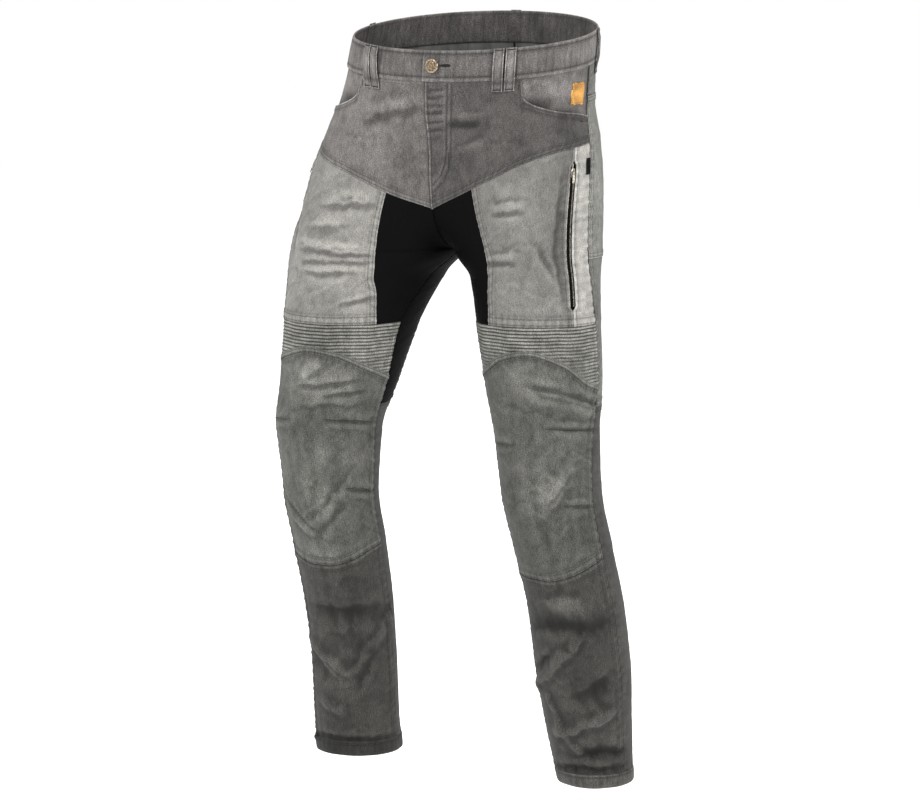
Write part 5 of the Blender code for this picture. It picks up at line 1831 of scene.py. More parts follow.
@dataclass
class Band:
    """A doubled strip of denim carried round the cloth: a closed profile of drops below its
    upper edge and stands off the cloth, taken along u."""

    name: str
    runs: Sequence[tuple[ClothSurface, np.ndarray]]
    profile: Table
    top_level: float
    finish: Cloth
    outer_wash: Wash
    inner_grey: float
    ring: bool
    cut: tuple[float, float]
    area: float
    stitch_drops: tuple[float, ...]
    pucker: float
    wave: float = 0.011
    extra: Callable[[ClothSurface, np.ndarray, np.ndarray], np.ndarray] | None = None
    thread_grey: float = 66.0
    rests_on: tuple[str, ...] = ("waistband",)
    shadows: tuple[tuple[Side, float], ...] = ()

    def surface_at(
        self, surface: ClothSurface, u: np.ndarray, drop: np.ndarray, stand: np.ndarray
    ) -> np.ndarray:
        """Points of one run: the cloth at level top - drop, moved out by stand and ripples."""
        around = u * 0.5
        ripple = wander(math.tau * around / self.wave, 0.6)
        for at in self.stitch_drops:
            near = np.exp(-(((drop - at) / 0.0055) ** 2))
            stand = stand + self.pucker * ripple * near
        if self.extra is not None:
            stand = stand + self.extra(surface, u, drop)
        return surface.cloth(u, self.top_level - drop, stand)

    def build(self, wardrobe: Wardrobe) -> bpy.types.Object:
        """Makes the band, its ends and its stitching.

        Args:
            wardrobe: The finishes.

        Returns:
            The band's object.
        """
        rows = np.array(self.profile, float)
        points, flat, light = [], [], []
        run_start = 0.0
        for surface, u in self.runs:
            across, drop = np.meshgrid(u, rows[:, 0], indexing="ij")
            stand = np.broadcast_to(rows[:, 1], across.shape)
            points.append(self.surface_at(surface, across, drop, stand))
            length = run_start + np.abs(across - u[0]) * surface.metres_per_u(
                np.array(self.top_level - 0.01)
            )
            run_start = float(length.max())
            place = np.concatenate(
                [[0], np.cumsum(np.hypot(np.diff(rows[:, 0]), np.diff(rows[:, 1])))]
            )
            flat.append(np.stack([length, np.broadcast_to(place, across.shape)], -1))
            outer = rows[:, 2] > 0.5
            grey = np.where(
                outer, self.outer_wash.read(across, self.top_level - drop),
                linear(self.inner_grey),
            )
            shade = np.ones(across.shape)
            # Painted shade in the stitch furrows.
            for at in self.stitch_drops:
                shade *= 1 - 0.58 * np.exp(-(((drop - at) / 0.0012) ** 2))
            ripple = wander(math.tau * across * 0.5 / self.wave, 0.6)
            shade *= 1 + 0.14 * wander(across * 37 + drop * 60, 0.2)
            # Painted shadows on the band beside the belt loops.
            for side, middle in self.shadows:
                if side is surface.side:
                    beside = np.abs(across - middle) * 0.52
                    shade *= 1 - 0.50 * np.exp(-(((beside - 0.0085) / 0.0016) ** 2))
            # Lapped end: a paler edge on the left band, partly wear and partly painted highlight, and a
            # painted shadow beside it on the right band.
            if self.extra is band_lap and surface.side is Side.LEFT:
                shade *= 1 + 0.7 * np.exp(-(((across + 0.025) / 0.003) ** 2))
            if self.extra is band_lap and surface.side is Side.RIGHT:
                shade *= 1 - 0.6 * np.exp(-((np.clip(across - 0.025, 0, 1) / 0.005) ** 2))
            # Ripples paler on their crests and darker in their troughs, partly wear and partly painted
            # light and shade.
            light.append(grey * shade * (1 + 0.20 * ripple) * (1 + rows[:, 3]))
        points = np.concatenate(points)
        columns, around = points.shape[:2]
        if self.ring:
            points = points[:-1]
            faces = lattice_faces(columns, around, False, closed=True) % ((columns - 1) * around)
        else:
            faces = lattice_faces(columns, around, False, closed=True)
        faces = faces.tolist()
        if not self.ring:
            faces.append(list(range(around)))
            faces.append(list(range(columns * around - 1, (columns - 1) * around - 1, -1)))
        light, flat = np.concatenate(light), np.concatenate(flat)
        if self.ring:
            light, flat = light[:-1], flat[:-1]
        made = mesh_piece(
            self.name + "_cloth", points, faces, [wardrobe.get(self.finish)], light, flat
        )
        face_out(made)
        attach(made, "trousers")
        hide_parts(self.name)
        sewing = Sewing(self.name, self.thread_grey)
        stand = rows[rows[:, 2] > 0.5]
        for surface, u in self.runs:
            fine = np.linspace(u[0], u[-1], len(u) * 3)
            for at in self.stitch_drops:
                order = np.argsort(stand[:, 0])
                height = np.interp(at, stand[order, 0], stand[order, 1])
                drop = np.full(fine.shape, at)
                path = self.surface_at(surface, fine, drop, np.full(fine.shape, height))
                sewing.row(path, surface.normal(fine, self.top_level - drop))
        stitching = sewing.build(wardrobe)
        log.info("%s: %d by %d points", self.name, columns, around)
        return made


def face_out(piece: bpy.types.Object) -> None:
    """Turns every face of a closed mesh outwards."""
    body = bmesh.new()
    body.from_mesh(piece.data)
    bmesh.ops.recalc_face_normals(body, faces=body.faces)
    body.to_mesh(piece.data)
    body.free()
    piece.data.shade_smooth()


# drop, stand, outer side, tone factor less 1; the tone factor paints the folded edges paler, partly wear
# and partly painted highlight, and puts painted shade in the stitch furrows and inside the fold
WAIST_PROFILE: Table = (
    (0.0006, 0.0004, 1, 0.50), (0.0020, 0.0008, 1, 0.25), (0.0041, 0.0009, 1, 0.05),
    (0.0050, 0.0004, 1, -0.1), (0.0059, 0.0009, 1, 0.0), (0.0100, 0.0011, 1, 0.0),
    (0.0160, 0.0013, 1, 0.04), (0.0220, 0.0013, 1, 0.05), (0.0280, 0.0012, 1, 0.02),
    (0.0330, 0.0010, 1, 0.0), (0.0361, 0.0009, 1, 0.0), (0.0370, 0.0004, 1, -0.1),
    (0.0379, 0.0009, 1, 0.15), (0.0410, 0.0009, 1, 0.40), (0.0429, 0.0003, 1, 0.30),
    (0.0436, -0.0006, 0, -0.3), (0.0432, -0.0018, 0, -0.2), (0.0400, -0.0020, 0, 0.0),
    (0.0340, -0.0021, 0, 0.0), (0.0250, -0.0021, 0, 0.0), (0.0160, -0.0021, 0, 0.0),
    (0.0080, -0.0020, 0, 0.04), (0.0040, -0.0020, 0, 0.1), (0.0012, -0.0017, 0, 0.3),
    (0.0000, -0.0008, 1, 0.70), (0.0001, -0.0001, 1, 0.65),
)
HEM_PROFILE: Table = (
    (0.0004, 0.0004, 1, 0.55), (0.0016, 0.0010, 1, 0.30), (0.0032, 0.0010, 1, 0.02),
    (0.0060, 0.0011, 1, 0.0), (0.0100, 0.0012, 1, 0.0), (0.0140, 0.0012, 1, 0.0),
    (0.0176, 0.0010, 1, 0.16), (0.0192, 0.0005, 1, 0.50), (0.0199, -0.0005, 1, 0.55),
    (0.0197, -0.0016, 0, 0.1), (0.0180, -0.0020, 0, 0.0), (0.0120, -0.0021, 0, 0.0),
    (0.0060, -0.0021, 0, 0.0), (0.0014, -0.0020, 0, 0.0), (0.0002, -0.0010, 0, -0.2),
)


def band_lap(surface: ClothSurface, u: np.ndarray, drop: np.ndarray) -> np.ndarray:
    """The left end of the waistband stands over the right one beneath it."""
    if surface.side is not Side.LEFT:
        return np.zeros(u.shape)
    return 0.0029 * smooth_step(np.clip(1 - u / LAP_RAMP, 0, 1))


def cuff_sway(surface: ClothSurface, u: np.ndarray, drop: np.ndarray) -> np.ndarray:
    """A hem's own buckling: rolls round the leg, and on the right an outer corner turned up."""
    roll = 0.0010 * wander(u * 23, 0.3 + surface.side.value) * smooth_step(drop / 0.018)
    if surface.side is Side.RIGHT:
        corner = np.exp(-(((u - 0.40) / 0.022) ** 2)) * np.exp(-((drop / 0.007) ** 2))
        return roll + 0.0050 * corner
    return roll


@dataclass
class BeltLoop:
    """A loop of folded denim over the waistband, tacked above and below."""

    name: str
    runs: Sequence[tuple[ClothSurface, float]]
    width: float = 0.0142
    length: float = 0.0600
    top: float = 0.0008
    slant: float = 0.0
    grey: float = 112.0
    profile: Table = (
        (0.00, 0.0026), (0.04, 0.0030), (0.08, 0.0030), (0.13, 0.0037), (0.20, 0.0049),
        (0.40, 0.0052), (0.62, 0.0051), (0.72, 0.0040), (0.80, 0.0028), (0.90, 0.0021),
        (0.97, 0.0020), (1.00, 0.0017),
    )

    def build(self, wardrobe: Wardrobe) -> bpy.types.Object:
        """Makes the loop as a strip on the cloth, with two sewn furrows and bartacks."""
        share = np.array([row[0] for row in self.profile])
        stand = np.array([row[1] for row in self.profile])
        s = np.linspace(0, 1, 46)
        x = np.array([-0.5, -0.47, -0.40, -0.36, -0.32, -0.15, 0.0, 0.15, 0.32, 0.36, 0.40,
                      0.47, 0.5])
        edge_drop = np.array([-0.0006, 0, 0.0001, -0.0003, 0.0001, 0.0002, 0.0003, 0.0002,
                              0.0001, -0.0003, 0.0001, 0, -0.0006])
        cross, down = np.meshgrid(x, s)
        out = np.interp(down, share, stand) + edge_drop
        level = self.top - down * self.length
        scale = 0.52
        step = cross * self.width / scale + self.slant * (down - 0.5)
        surface, middle = self.runs[0]
        u = middle + step
        points = surface.cloth(np.clip(u, -0.03, 1.0), level, out)
        normals = surface.normal(np.clip(u, -0.03, 1.0), level)
        if len(self.runs) > 1:
            other = self.runs[1][0]
            over = other.cloth(np.clip(2 * middle - u, 0, 1), level, out)
            points = np.where((u > middle)[..., None], over, points)
            turned = other.normal(np.clip(2 * middle - u, 0, 1), level)
            normals = np.where((u > middle)[..., None], turned, normals)
        # The loop's tone: paler folded edges and bottom end, partly wear and partly painted highlight;
        # painted shade in the stitch furrows and where the loop steps down below its bulge; a painted
        # highlight on the upper bulge; and random patches.
        light = linear(self.grey) * (
            1 + 0.95 * np.exp(-(((np.abs(cross) - 0.45) / 0.040) ** 2))
            - 0.55 * np.exp(-(((np.abs(cross) - 0.345) / 0.045) ** 2))
        ) * (1 - 0.45 * np.exp(-(((down - 0.80) / 0.05) ** 2)))
        light = light * (1 + 0.35 * np.exp(-(((down - 0.34) / 0.20) ** 2)))
        light = light * (1 + 0.16 * wander(down * 23 + cross * 5, 0.5))
        light = light * (1 + 0.80 * np.exp(-(((down - 1.0) / 0.02) ** 2)))
        weave = np.stack([cross * self.width, level], -1)
        flip = surface.side is Side.LEFT
        made = mesh_piece(
            self.name + "_cloth", points, lattice_faces(46, len(x), flip),
            [wardrobe.get(wardrobe.yoke)], light, weave,
        )
        shell = made.modifiers.new("cloth_thickness", "SOLIDIFY")
        shell.thickness, shell.offset = 0.0015, -1.0
        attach(made, "trousers")
        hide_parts(self.name)
        sewing = Sewing(self.name, 60.0)
        for column in (3, 9):
            sewing.row(points[:, column], normals[:, column])
        for row in (2, 43):
            sewing.bar(points[row, 2:11], normals[row, 2:11])
        stitching = sewing.build(wardrobe)
        return made


def local_frame(
    surface: ClothSurface, u: float, level: float, offset: float, tilt: float = 0.0
) -> Matrix:
    """Axes on the cloth: X along it level, Y up along it, Z out of it, turned by tilt."""
    at, height = np.array([u]), np.array([level])
    point = surface.cloth(at, height, offset)[0]
    out = Vector(surface.normal(at, height)[0])
    up = Vector(surface.cloth(at, height + 0.004, offset)[0] - point)
    up = (up - out * up.dot(out)).normalized()
    along = up.cross(out)
    axes = Matrix((along, up, out)).transposed().to_4x4()
    return Matrix.Translation(Vector(point)) @ axes @ Matrix.Rotation(math.radians(tilt), 4, "Z")


def placed(frame: Matrix, points: np.ndarray) -> np.ndarray:
    """Points of a local frame in the row frame."""
    turned = np.array(frame)
    return points @ turned[:3, :3].T + turned[:3, 3]


def rounded_outline(width: float, length: float, power: float, count: int) -> np.ndarray:
    """A superellipse |x / a| ** power + |y / b| ** power = 1 as so many points."""
    angle = np.linspace(0, math.tau, count, endpoint=False)
    c, s = np.cos(angle), np.sin(angle)
    x = np.sign(c) * np.abs(c) ** (2 / power) * width / 2
    y = np.sign(s) * np.abs(s) ** (2 / power) * length / 2
    return np.stack([x, y], -1)


def plate(
    outline: np.ndarray, base: float, top: float, bevel: float, hole: np.ndarray | None = None
) -> tuple[np.ndarray, list[list[int]]]:
    """A plate with rounded rims: the outline drawn in by the bevel below and above, with an
    optional hole of as many points.

    Args:
        outline: Points of the rim.
        base: Height of its underside.
        top: Height of its upper side.
        bevel: Width of the rounding.
        hole: Points of the hole's rim.

    Returns:
        Its points and faces.
    """
    count = len(outline)
    middle = outline.mean(0)

    def ring(line: np.ndarray, inset: float, height: float) -> np.ndarray:
        """A rim drawn towards its own middle by inset, at a height."""
        away = line - line.mean(0)
        size = np.linalg.norm(away, axis=1, keepdims=True)
        shrunk = line.mean(0) + away * (size - inset) / size
        return np.column_stack([shrunk, np.full(count, height)])

    steps = ((bevel, base), (0.0, base + bevel), (0.0, top - bevel), (bevel, top))
    rings = [ring(outline, inset, height) for inset, height in steps]
    if hole is None:
        rings.append(np.column_stack([middle + (outline - middle) * 0.5, np.full(count, top)]))
        rings.insert(0, np.column_stack([middle + (outline - middle) * 0.5,
                                         np.full(count, base)]))
        points = np.concatenate(rings)
        faces = lattice_faces(len(rings), count, False, closed=True).tolist()
        faces.append(list(range(count))[::-1])
        last = (len(rings) - 1) * count
        faces.append(list(range(last, last + count)))
        return points, faces
    inner = [ring(hole, -inset, height) for inset, height in reversed(steps)]
    points = np.concatenate(rings + inner)
    around = len(rings) + len(inner)
    faces = lattice_faces(around + 1, count, False, closed=True) % (around * count)
    return points, faces.tolist()


def joined(
    solids: Sequence[tuple[np.ndarray, list[list[int]]]],
) -> tuple[np.ndarray, list[list[int]]]:
    """Puts several solids into one list of points and faces."""
    points, faces, start = [], [], 0
    for cloud, polygons in solids:
        points.append(cloud)
        faces += [[start + v for v in face] for face in polygons]
        start += len(cloud)
    return np.concatenate(points), faces


@dataclass
class ThighZip:
    """The slanted pocket's zip: tape, teeth, slider and pull."""

    side: TrouserSide
    slider_level: float = -0.182
    slider: tuple[float, float, float] = (0.0070, 0.0130, 0.0024)
    pull: tuple[float, float, float] = (0.0044, 0.0190, 0.0012)
    pull_past: float = 0.0007
    hinge: tuple[float, float] = (0.0035, 0.0019)
    tooth: tuple[float, float, float] = (0.0019, 0.00075, 0.0011)
    tooth_pitch: float = 0.00128
    tape_width: float = 0.024

    def build(self) -> None:
        """Builds the tape with its teeth, the slider and the pull."""
        self.build_tape()
        self.build_slider()

    def build_tape(self) -> None:
        """The black tape behind the slit, and two rows of teeth along its edges."""
        surface, wardrobe = self.side.surface, self.side.wardrobe
        name = self.side.named("zip_tape")
        line = seam(ZIP_SEAM)
        level, share = np.meshgrid(
            np.linspace(ZIP_TOP + 0.006, ZIP_BOTTOM - 0.006, 90), np.linspace(-0.5, 0.5, 17),
            indexing="ij",
        )
        u = line(level) + share * self.tape_width / 0.56
        rib = 0.00012 * np.sin(share * 0.024 / 0.0007)
        points = surface.cloth(u, level, rib - 0.0024)
        weave = np.stack([share * self.tape_width, level], -1)
        made = mesh_piece(
            name + "_cloth", points, lattice_faces(90, 17, surface.side is Side.LEFT),
            [wardrobe.get(wardrobe.stretch)], np.full(u.shape, linear(26.0)), weave,
        )
        shell = made.modifiers.new("cloth_thickness", "SOLIDIFY")
        shell.thickness, shell.offset = 0.0010, -1.0
        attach(made, "trousers")
        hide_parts(name)
        teeth = self.build_teeth(name, line)
        self.side.named("thigh_front") + "_cloth"

    def build_teeth(self, name: str, line: Curve) -> bpy.types.Object:
        """Small blocks along both edges of the slit, made all at once."""
        surface, wardrobe = self.side.surface, self.side.wardrobe
        count = int((ZIP_TOP - ZIP_BOTTOM - 0.010) / self.tooth_pitch)
        level = ZIP_TOP - 0.005 - np.arange(count) * self.tooth_pitch
        clouds = []
        corner = np.array([
            [x, y, z] for z in (0, 1) for y in (-0.5, 0.5) for x in (-0.5, 0.5)
        ])
        shape = corner * np.array(self.tooth) * np.array([1, 1, 1])
        shape[4:, :2] *= 0.72
        for hand in (-1, 1):
            apart = np.maximum(self.side.gape(level) - 0.0014 / 0.56, 0.00075 / 0.56)
            above = level > self.slider_level
            apart = np.where(above, 0.00055 / 0.56, apart)
            u = line(level) + hand * apart
            centre = surface.cloth(u, level + hand * self.tooth_pitch / 4, -0.0022)
            out = surface.normal(u, level)
            up = surface.cloth(u, level + 0.002, -0.0022) - surface.cloth(u, level, -0.0022)
            up /= np.linalg.norm(up, axis=1, keepdims=True)
            along = np.cross(up, out)
            clouds.append(
                centre[:, None] + along[:, None] * shape[None, :, :1]
                + up[:, None] * shape[None, :, 1:2] + out[:, None] * shape[None, :, 2:]
            )
        cloud = np.concatenate(clouds)
        box = [(0, 2, 3, 1), (4, 5, 7, 6), (0, 1, 5, 4), (2, 6, 7, 3), (0, 4, 6, 2), (1, 3, 7, 5)]
        faces = [tuple(k * 8 + v for v in face) for k in range(len(cloud)) for face in box]
        made = mesh_piece(
            name + "_teeth", cloud, faces, [wardrobe.get(wardrobe.nickel)], smooth=False
        )
        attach(made, "trousers")
        return made

    def build_slider(self) -> None:
        """The slider's body with its bridge, and the pull with its eye."""
        surface, wardrobe = self.side.surface, self.side.wardrobe
        level = self.slider_level
        place = float(seam(ZIP_SEAM)(np.array(level)))
        plain = ClothSurface(self.side.side)
        frame = local_frame(plain, place, level, 0.0)
        wide, long, high = self.slider
        base = -0.0016
        body = rounded_outline(wide, long, 3.2, 40)
        body[:, 0] *= 1 - 0.16 * np.clip(-body[:, 1] / (long / 2), 0, 1)
        solids = [plate(body, base, base + high * 0.72, 0.0005)]
        solids.append(plate(body * 0.80, base + high * 0.70, base + high * 0.92, 0.0003))
        arch = []
        for turn in np.linspace(0, math.pi, 11):
            y = 0.0008 + 0.0036 * math.cos(turn)
            z = base + high * 0.80 + 0.0014 * math.sin(turn)
            arch.append((y, z))
        line = np.array(arch)
        ring = np.array([(-0.0008, -0.00028), (0.0008, -0.00028), (0.0009, 0.0), (0.0008, 0.00028),
                         (-0.0008, 0.00028), (-0.0009, 0.0)])
        step = np.gradient(line, axis=0)
        step /= np.linalg.norm(step, axis=1, keepdims=True)
        across = np.stack([-step[:, 1], step[:, 0]], -1)
        bridge = np.stack([
            np.broadcast_to(ring[:, 0], (11, 6)),
            line[:, None, 0] + across[:, None, 0] * ring[:, 1],
            line[:, None, 1] + across[:, None, 1] * ring[:, 1],
        ], -1).reshape(-1, 3)
        faces = lattice_faces(11, 6, False, closed=True).tolist()
        faces += [[5, 4, 3, 2, 1, 0], list(range(60, 66))]
        solids.append((bridge, faces))
        points, polygons = joined(solids)
        name = self.side.named("zip_slider")
        made = mesh_piece(
            name + "_metal", placed(frame, points), polygons, [wardrobe.get(wardrobe.nickel)]
        )
        self.finish_metal(made, name, "trousers")
        hinge = frame @ Matrix.Translation((0, self.hinge[0], self.hinge[1]))
        width, length, thick = self.pull
        outline = rounded_outline(width, length, 3.0, 56)
        outline[:, 0] *= 0.86 + 0.14 * np.clip(-outline[:, 1] / (length / 2), -1, 1)
        outline[:, 1] += self.pull_past - length / 2
        hole = rounded_outline(width * 0.52, 0.0062, 2.4, 56)
        hole[:, 1] += -0.0042 + self.pull_past
        solids = [plate(outline, -thick / 2, thick / 2, 0.00025, hole)]
        panel = rounded_outline(width * 0.52, 0.0078, 2.8, 40)
        panel[:, 1] += -0.0128
        solids.append(plate(panel, thick / 2 - 0.0001, thick / 2 + 0.00025, 0.00015))
        points, polygons = joined(solids)
        name = self.side.named("zip_pull")
        made = mesh_piece(
            name + "_metal", placed(hinge, points), polygons, [wardrobe.get(wardrobe.nickel)]
        )
        self.finish_metal(made, name, self.side.named("pull"))
        log.info("%s zip: slider at %s", self.side.side.label, tuple(frame.translation))

    @staticmethod
    def finish_metal(made: bpy.types.Object, node: str, body: str) -> None:
        """Faces the mesh outwards, keeps its corners crisp and ties it to its CAD node."""
        face_out(made)
        made.data.set_sharp_from_angle(angle=math.radians(40))
        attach(made, body)
        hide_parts(node)


@dataclass
class WaistButton:
    """The turned metal button with plain raised rings, and its buttonhole."""

    side: TrouserSide
    radius: float = 0.0098
    level: float = -0.021
    rings: Table = (
        (0.00, 0.0036), (0.20, 0.0037), (0.30, 0.0036), (0.34, 0.0031), (0.40, 0.0031),
        (0.44, 0.0037), (0.52, 0.0038), (0.57, 0.0036), (0.61, 0.0031), (0.68, 0.0031),
        (0.72, 0.0038), (0.80, 0.0041), (0.88, 0.0040), (0.95, 0.0035), (1.00, 0.0025),
        (0.98, 0.0016), (0.90, 0.0011), (0.60, 0.0008), (0.44, 0.0004), (0.42, -0.0003),
        (0.00, -0.0003),
    )

    def build(self) -> None:
        """Turns the ring profile round the button's axis, and sews the buttonhole."""
        surface, wardrobe = self.side.surface, self.side.wardrobe
        profile = np.array(self.rings, float)
        angle = np.linspace(0, math.tau, 56, endpoint=False)
        reach = profile[1:-1, 0] * self.radius
        points = np.stack([
            reach[:, None] * np.cos(angle), reach[:, None] * np.sin(angle),
            np.broadcast_to(profile[1:-1, 1:2], (len(reach), 56)),
        ], -1).reshape(-1, 3)
        points = np.vstack([points, [0, 0, profile[0, 1]], [0, 0, profile[-1, 1]]])
        faces = lattice_faces(len(reach), 56, False, closed=True).tolist()
        top, foot = len(points) - 2, len(points) - 1
        last = (len(reach) - 1) * 56
        faces += [[top, k, (k + 1) % 56] for k in range(56)]
        faces += [[foot, last + (k + 1) % 56, last + k] for k in range(56)]
        plain = ClothSurface(Side.LEFT)
        frame = local_frame(plain, 0.0, self.level, 0.0039)
        made = mesh_piece("button_metal", placed(frame, points), faces, [wardrobe.get(wardrobe.brass)])
        ThighZip.finish_metal(made, "button", "trousers")
        self.build_buttonhole(surface)

    def build_buttonhole(self, surface: ClothSurface) -> None:
        """A dark opening with a purled rim on the lapped end of the band: a sheet painted dark as the shade
        inside the buttonhole.
        """
        wardrobe = self.side.wardrobe
        angle = np.linspace(0, math.tau, 61)
        u = 0.030 + 0.0145 * np.cos(angle)
        level = self.level + 0.0004 + (0.0013 + 0.0006 * np.cos(angle)) * np.sin(angle)
        lap = 0.0029 * smooth_step(np.clip(1 - u / LAP_RAMP, 0, 1)) + 0.00135
        rim = surface.cloth(u, level, lap)
        normals = surface.normal(u, level)
        sewing = Sewing("buttonhole", 44.0)
        sewing.bar(rim, normals)
        centre = rim[:-1].mean(0)
        # The opening is a sheet painted dark as the shade inside the buttonhole.
        shade_slot = np.concatenate([rim[:-1] + normals[:-1] * 0.00012, [centre + normals[0] * 0.0002]])
        faces = [[k, (k + 1) % 60, 60] for k in range(60)]
        made = mesh_piece(
            "buttonhole_shade_slot", shade_slot, faces, [wardrobe.get(wardrobe.inside)],
            np.full(61, float(linear(26.0))), shade_slot[:, [0, 2]],
        )
        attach(made, "trousers")
        sewing.build(wardrobe)


@dataclass
class SewnPatch:
    """A small piece of cloth laid on the garment, bare of any words."""

    node: str
    surface: ClothSurface
    u: float
    level: float
    size: tuple[float, float]
    stand: float
    thickness: float
    tilt: float
    grey: float
    finish: Cloth
    frayed: float = 0.0
    thread_grey: float = 60.0

    def build(self, wardrobe: Wardrobe) -> bpy.types.Object:
        """Makes the patch on the cloth under it: x and y turned by tilt, then laid on u and
        level, with a crowned middle and a ragged rim.

        Args:
            wardrobe: The finishes.

        Returns:
            The patch's object.
        """
        wide, high = self.size
        x, y = np.meshgrid(np.linspace(-0.5, 0.5, 37), np.linspace(0.5, -0.5, 33))
        rim = np.clip(1 - np.minimum(0.5 - np.abs(x), 0.5 - np.abs(y)) / 0.05, 0, 1)
        ragged = self.frayed * rim * (
            wander(x * 60 + y * 9, 0.5) + 0.6 * wander(y * 71 + x * 13, 1.4)
        )
        px = x * wide + np.sign(x) * ragged
        py = y * high + np.sign(y) * ragged
        turn = math.radians(self.tilt)
        qx = px * math.cos(turn) - py * math.sin(turn)
        qy = px * math.sin(turn) + py * math.cos(turn)
        u = self.u + qx * self.surface.side.value / 0.54
        level = self.level + qy
        inset = np.minimum((0.5 - np.abs(x)) * wide, (0.5 - np.abs(y)) * high)
        furrow = np.exp(-(((inset - 0.0022) / 0.0006) ** 2))
        lift = self.stand + 0.0002 * wander(x * 8 + y * 5, 0.2) - 0.00025 * furrow
        lift = lift - 0.0004 * np.clip(1 - inset / 0.001, 0, 1)
        points = self.surface.cloth(u, level, lift)
        normals = self.surface.normal(u, level)
        # Painted shade in the stitch furrow, paler at the rim, and random patches.
        light = linear(self.grey) * (
            1 - 0.22 * furrow + 0.18 * np.clip(1 - inset / 0.0012, 0, 1)
            + 0.07 * wander(x * 11 + 2, 0.9) * wander(y * 9, 0.1)
        )
        made = mesh_piece(
            self.node + "_cloth", points,
            lattice_faces(33, 37, self.surface.side is Side.LEFT),
            [wardrobe.get(self.finish)], light, np.stack([px, py], -1),
        )
        shell = made.modifiers.new("cloth_thickness", "SOLIDIFY")
        shell.thickness, shell.offset = self.thickness, -1.0
        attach(made, "trousers")
        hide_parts(self.node)
        sewing = Sewing(self.node, self.thread_grey)
        for row in (3, 29):
            sewing.row(points[row, 3:34], normals[row, 3:34])
        for column in (3, 33):
            sewing.row(points[3:30, column], normals[3:30, column])
        stitching = sewing.build(wardrobe)
        return made


@dataclass
class Trousers:
    """The whole garment."""

    wardrobe: Wardrobe
    left: TrouserSide = field(init=False)
    right: TrouserSide = field(init=False)

    def __post_init__(self) -> None:
        """Makes both sides."""
        self.left = TrouserSide(Side.LEFT, self.wardrobe)
        self.right = TrouserSide(Side.RIGHT, self.wardrobe)

    def build(self) -> None:
        """Builds every piece."""
        self.left.build()
        self.right.build()
        self.build_waistband()
        self.build_hems()
        self.build_belt_loops()
        for side in (self.left, self.right):
            ThighZip(side).build()
        WaistButton(self.left).build()
        self.build_trims()

    def build_waistband(self) -> None:
        """One band from the buttoned left end round the back to the right end beneath it."""
        left_u = np.linspace(-0.025, 1.0, 330)
        right_u = np.linspace(0.995, 0.0009, 322)
        wash = Wash(98.0, (Fade((0.5, -0.02), (0.2, 0.06), 0.40),))
        Band(
            "waistband", ((self.left.surface, left_u), (self.right.surface, right_u)),
            WAIST_PROFILE, 0.0, self.wardrobe.yoke, wash, 86.0, False, (0.98, 0.044), 0.0430,
            (0.0050, 0.0370), 0.00034, extra=band_lap, rests_on=("front_yoke_left",),
            shadows=(
                (Side.LEFT, 0.168), (Side.LEFT, 0.200), (Side.RIGHT, 0.178), (Side.RIGHT, 0.210),
                (Side.LEFT, 0.560), (Side.RIGHT, 0.560),
            ),
        ).build(self.wardrobe)

    def build_hems(self) -> None:
        """Both hems, as closed rings."""
        for side, grey, cut in (
            (self.left, 82.0, (0.35, 0.020)), (self.right, 43.0, (0.38, 0.020)),
        ):
            Band(
                side.named("hem"), ((side.surface, np.linspace(0, 1, 150)),), HEM_PROFILE,
                HEM_LEVEL[side.side] + HEM_HEIGHT - 0.0003, self.wardrobe.dark, Wash(grey), 58.0, True, cut,
                cut[0] * cut[1] * 0.98, (0.0032,), 0.0007, 0.0125, cuff_sway,
                rests_on=(side.named("shin_front"),),
            ).build(self.wardrobe)

    def build_belt_loops(self) -> None:
        """Seven loops, two pairs in front."""
        for side in (self.left, self.right):
            slant, moved = (-0.026, 0.010) if side is self.right else (0.0, 0.0)
            for number, middle in enumerate((0.168, 0.200, 0.560), 1):
                name = f"belt_loop_{side.side.label}_{number}"
                grey = 92.0 if number == 3 else 114.0
                place = middle + (moved if number < 3 else 0.0)
                BeltLoop(name, ((side.surface, place),), slant=slant, grey=grey).build(
                    self.wardrobe
                )
        BeltLoop(
            "belt_loop_back", ((self.left.surface, 1.0), (self.right.surface, 1.0))
        ).build(self.wardrobe)

    def build_trims(self) -> None:
        """The plain patch on the left pocket facing and the bare side tab."""
        SewnPatch(
            "pocket_patch", self.left.surface, 0.443, -0.077, (0.038, 0.029), -0.0011, 0.0009,
            -6.0, 178.0, self.wardrobe.patch, 0.0014, 128.0,
        ).build(self.wardrobe)
        SewnPatch(
            "side_tab", self.left.surface, 0.486, -0.176, (0.011, 0.022), 0.0020, 0.0010,
            0.0, 30.0, self.wardrobe.stretch, 0.0, 24.0,
        ).build(self.wardrobe)


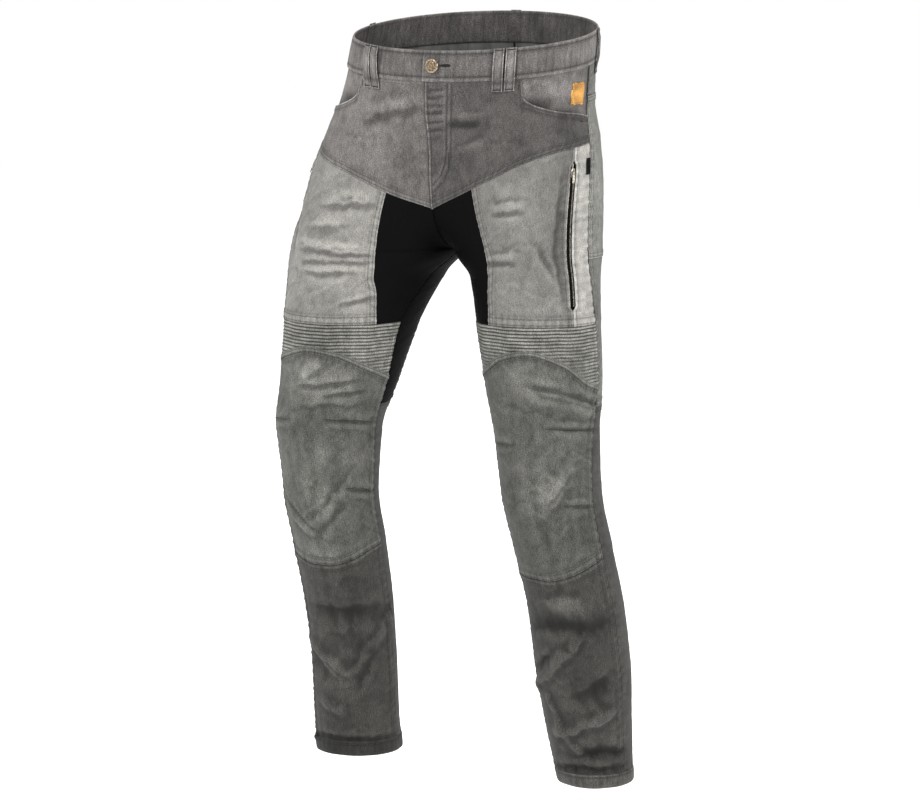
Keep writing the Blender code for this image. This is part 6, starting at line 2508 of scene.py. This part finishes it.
@dataclass(frozen=True)
class Studio:
    """Pale floor, soft light and the photograph's camera."""

    target: tuple[float, float, float] = (0.0, 0.0, -0.5)
    distance: float = 4.4
    azimuth: float = 28.0
    elevation: float = 8.5
    lens: float = 124.8
    shift: tuple[float, float] = (-0.0163, -0.0054)
    floor_level: float = -1.075

    def build(self) -> None:
        """Makes the camera, the floor and the lights."""
        a, e = math.radians(self.azimuth), math.radians(self.elevation)
        back = Vector((math.sin(a) * math.cos(e), -math.cos(a) * math.cos(e), math.sin(e)))
        lens = bpy.data.cameras.new("camera")
        lens.lens, lens.sensor_width = self.lens, 36.0
        lens.shift_x, lens.shift_y = self.shift
        camera = bpy.data.objects.new("camera", lens)
        camera.location = Vector(self.target) + back * self.distance
        camera.rotation_mode = "QUATERNION"
        camera.rotation_quaternion = (-back).to_track_quat("-Z", "Y")
        bpy.context.scene.collection.objects.link(camera)
        bpy.context.scene.camera = camera
        self.build_floor()
        self.add_light("key_light", (-0.4, -3.0, 2.8), 1.4, 150.0)
        self.add_light("left_light", (-2.8, -1.6, 0.8), 1.6, 34.0)
        self.add_light("right_light", (3.2, -0.6, 0.6), 1.8, 88.0)
        self.add_light("rim_light", (0.4, 2.8, 2.4), 2.6, 46.0)
        world = bpy.data.worlds.new("studio")
        bpy.context.scene.world = world
        world.use_nodes = True
        tree = world.node_tree
        sky = tree.nodes["Background"]
        seen = tree.nodes.new("ShaderNodeLightPath")
        strength = tree.nodes.new("ShaderNodeMapRange")
        strength.inputs["To Min"].default_value = 0.48
        strength.inputs["To Max"].default_value = 1.0
        tree.links.new(seen.outputs["Is Camera Ray"], strength.inputs["Value"])
        tree.links.new(strength.outputs["Result"], sky.inputs["Strength"])
        sky.inputs["Color"].default_value = (1.0, 1.0, 1.0, 1)
        bpy.context.scene.view_settings.view_transform = "Standard"

    def build_floor(self) -> None:
        """A plain pale floor a little below the hems."""
        x, y = np.meshgrid(np.linspace(-9, 9, 7), np.linspace(-9, 9, 7))
        points = np.stack([x, y, np.full(x.shape, self.floor_level)], -1)
        pale = bpy.data.materials.new("pale_floor")
        pale.use_nodes = True
        shader = pale.node_tree.nodes["Principled BSDF"]
        shader.inputs["Base Color"].default_value = (0.93, 0.93, 0.93, 1)
        shader.inputs["Roughness"].default_value = 0.9
        shader.inputs["Emission Color"].default_value = (1, 1, 1, 1)
        shader.inputs["Emission Strength"].default_value = 0.62
        floor = mesh_piece("floor", points, lattice_faces(7, 7, False).tolist(), [pale])

    @staticmethod
    def add_light(name: str, place: tuple[float, float, float], size: float, power: float) -> None:
        """Adds a broad soft area light turned to the garment's middle."""
        lamp = bpy.data.lights.new(name, "AREA")
        lamp.shape, lamp.size, lamp.energy = "DISK", size, power
        light = bpy.data.objects.new(name, lamp)
        light.location = place
        aim = Vector((0, 0, -0.45)) - Vector(place)
        light.rotation_mode = "QUATERNION"
        light.rotation_quaternion = aim.to_track_quat("-Z", "Y")
        bpy.context.scene.collection.objects.link(light)


def main() -> None:
    """Builds the scene."""
    logging.basicConfig(level=logging.INFO, format="%(name)s: %(message)s")
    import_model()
    Studio().build()
    Trousers(Wardrobe()).build()


if __name__ == "__main__":
    main()
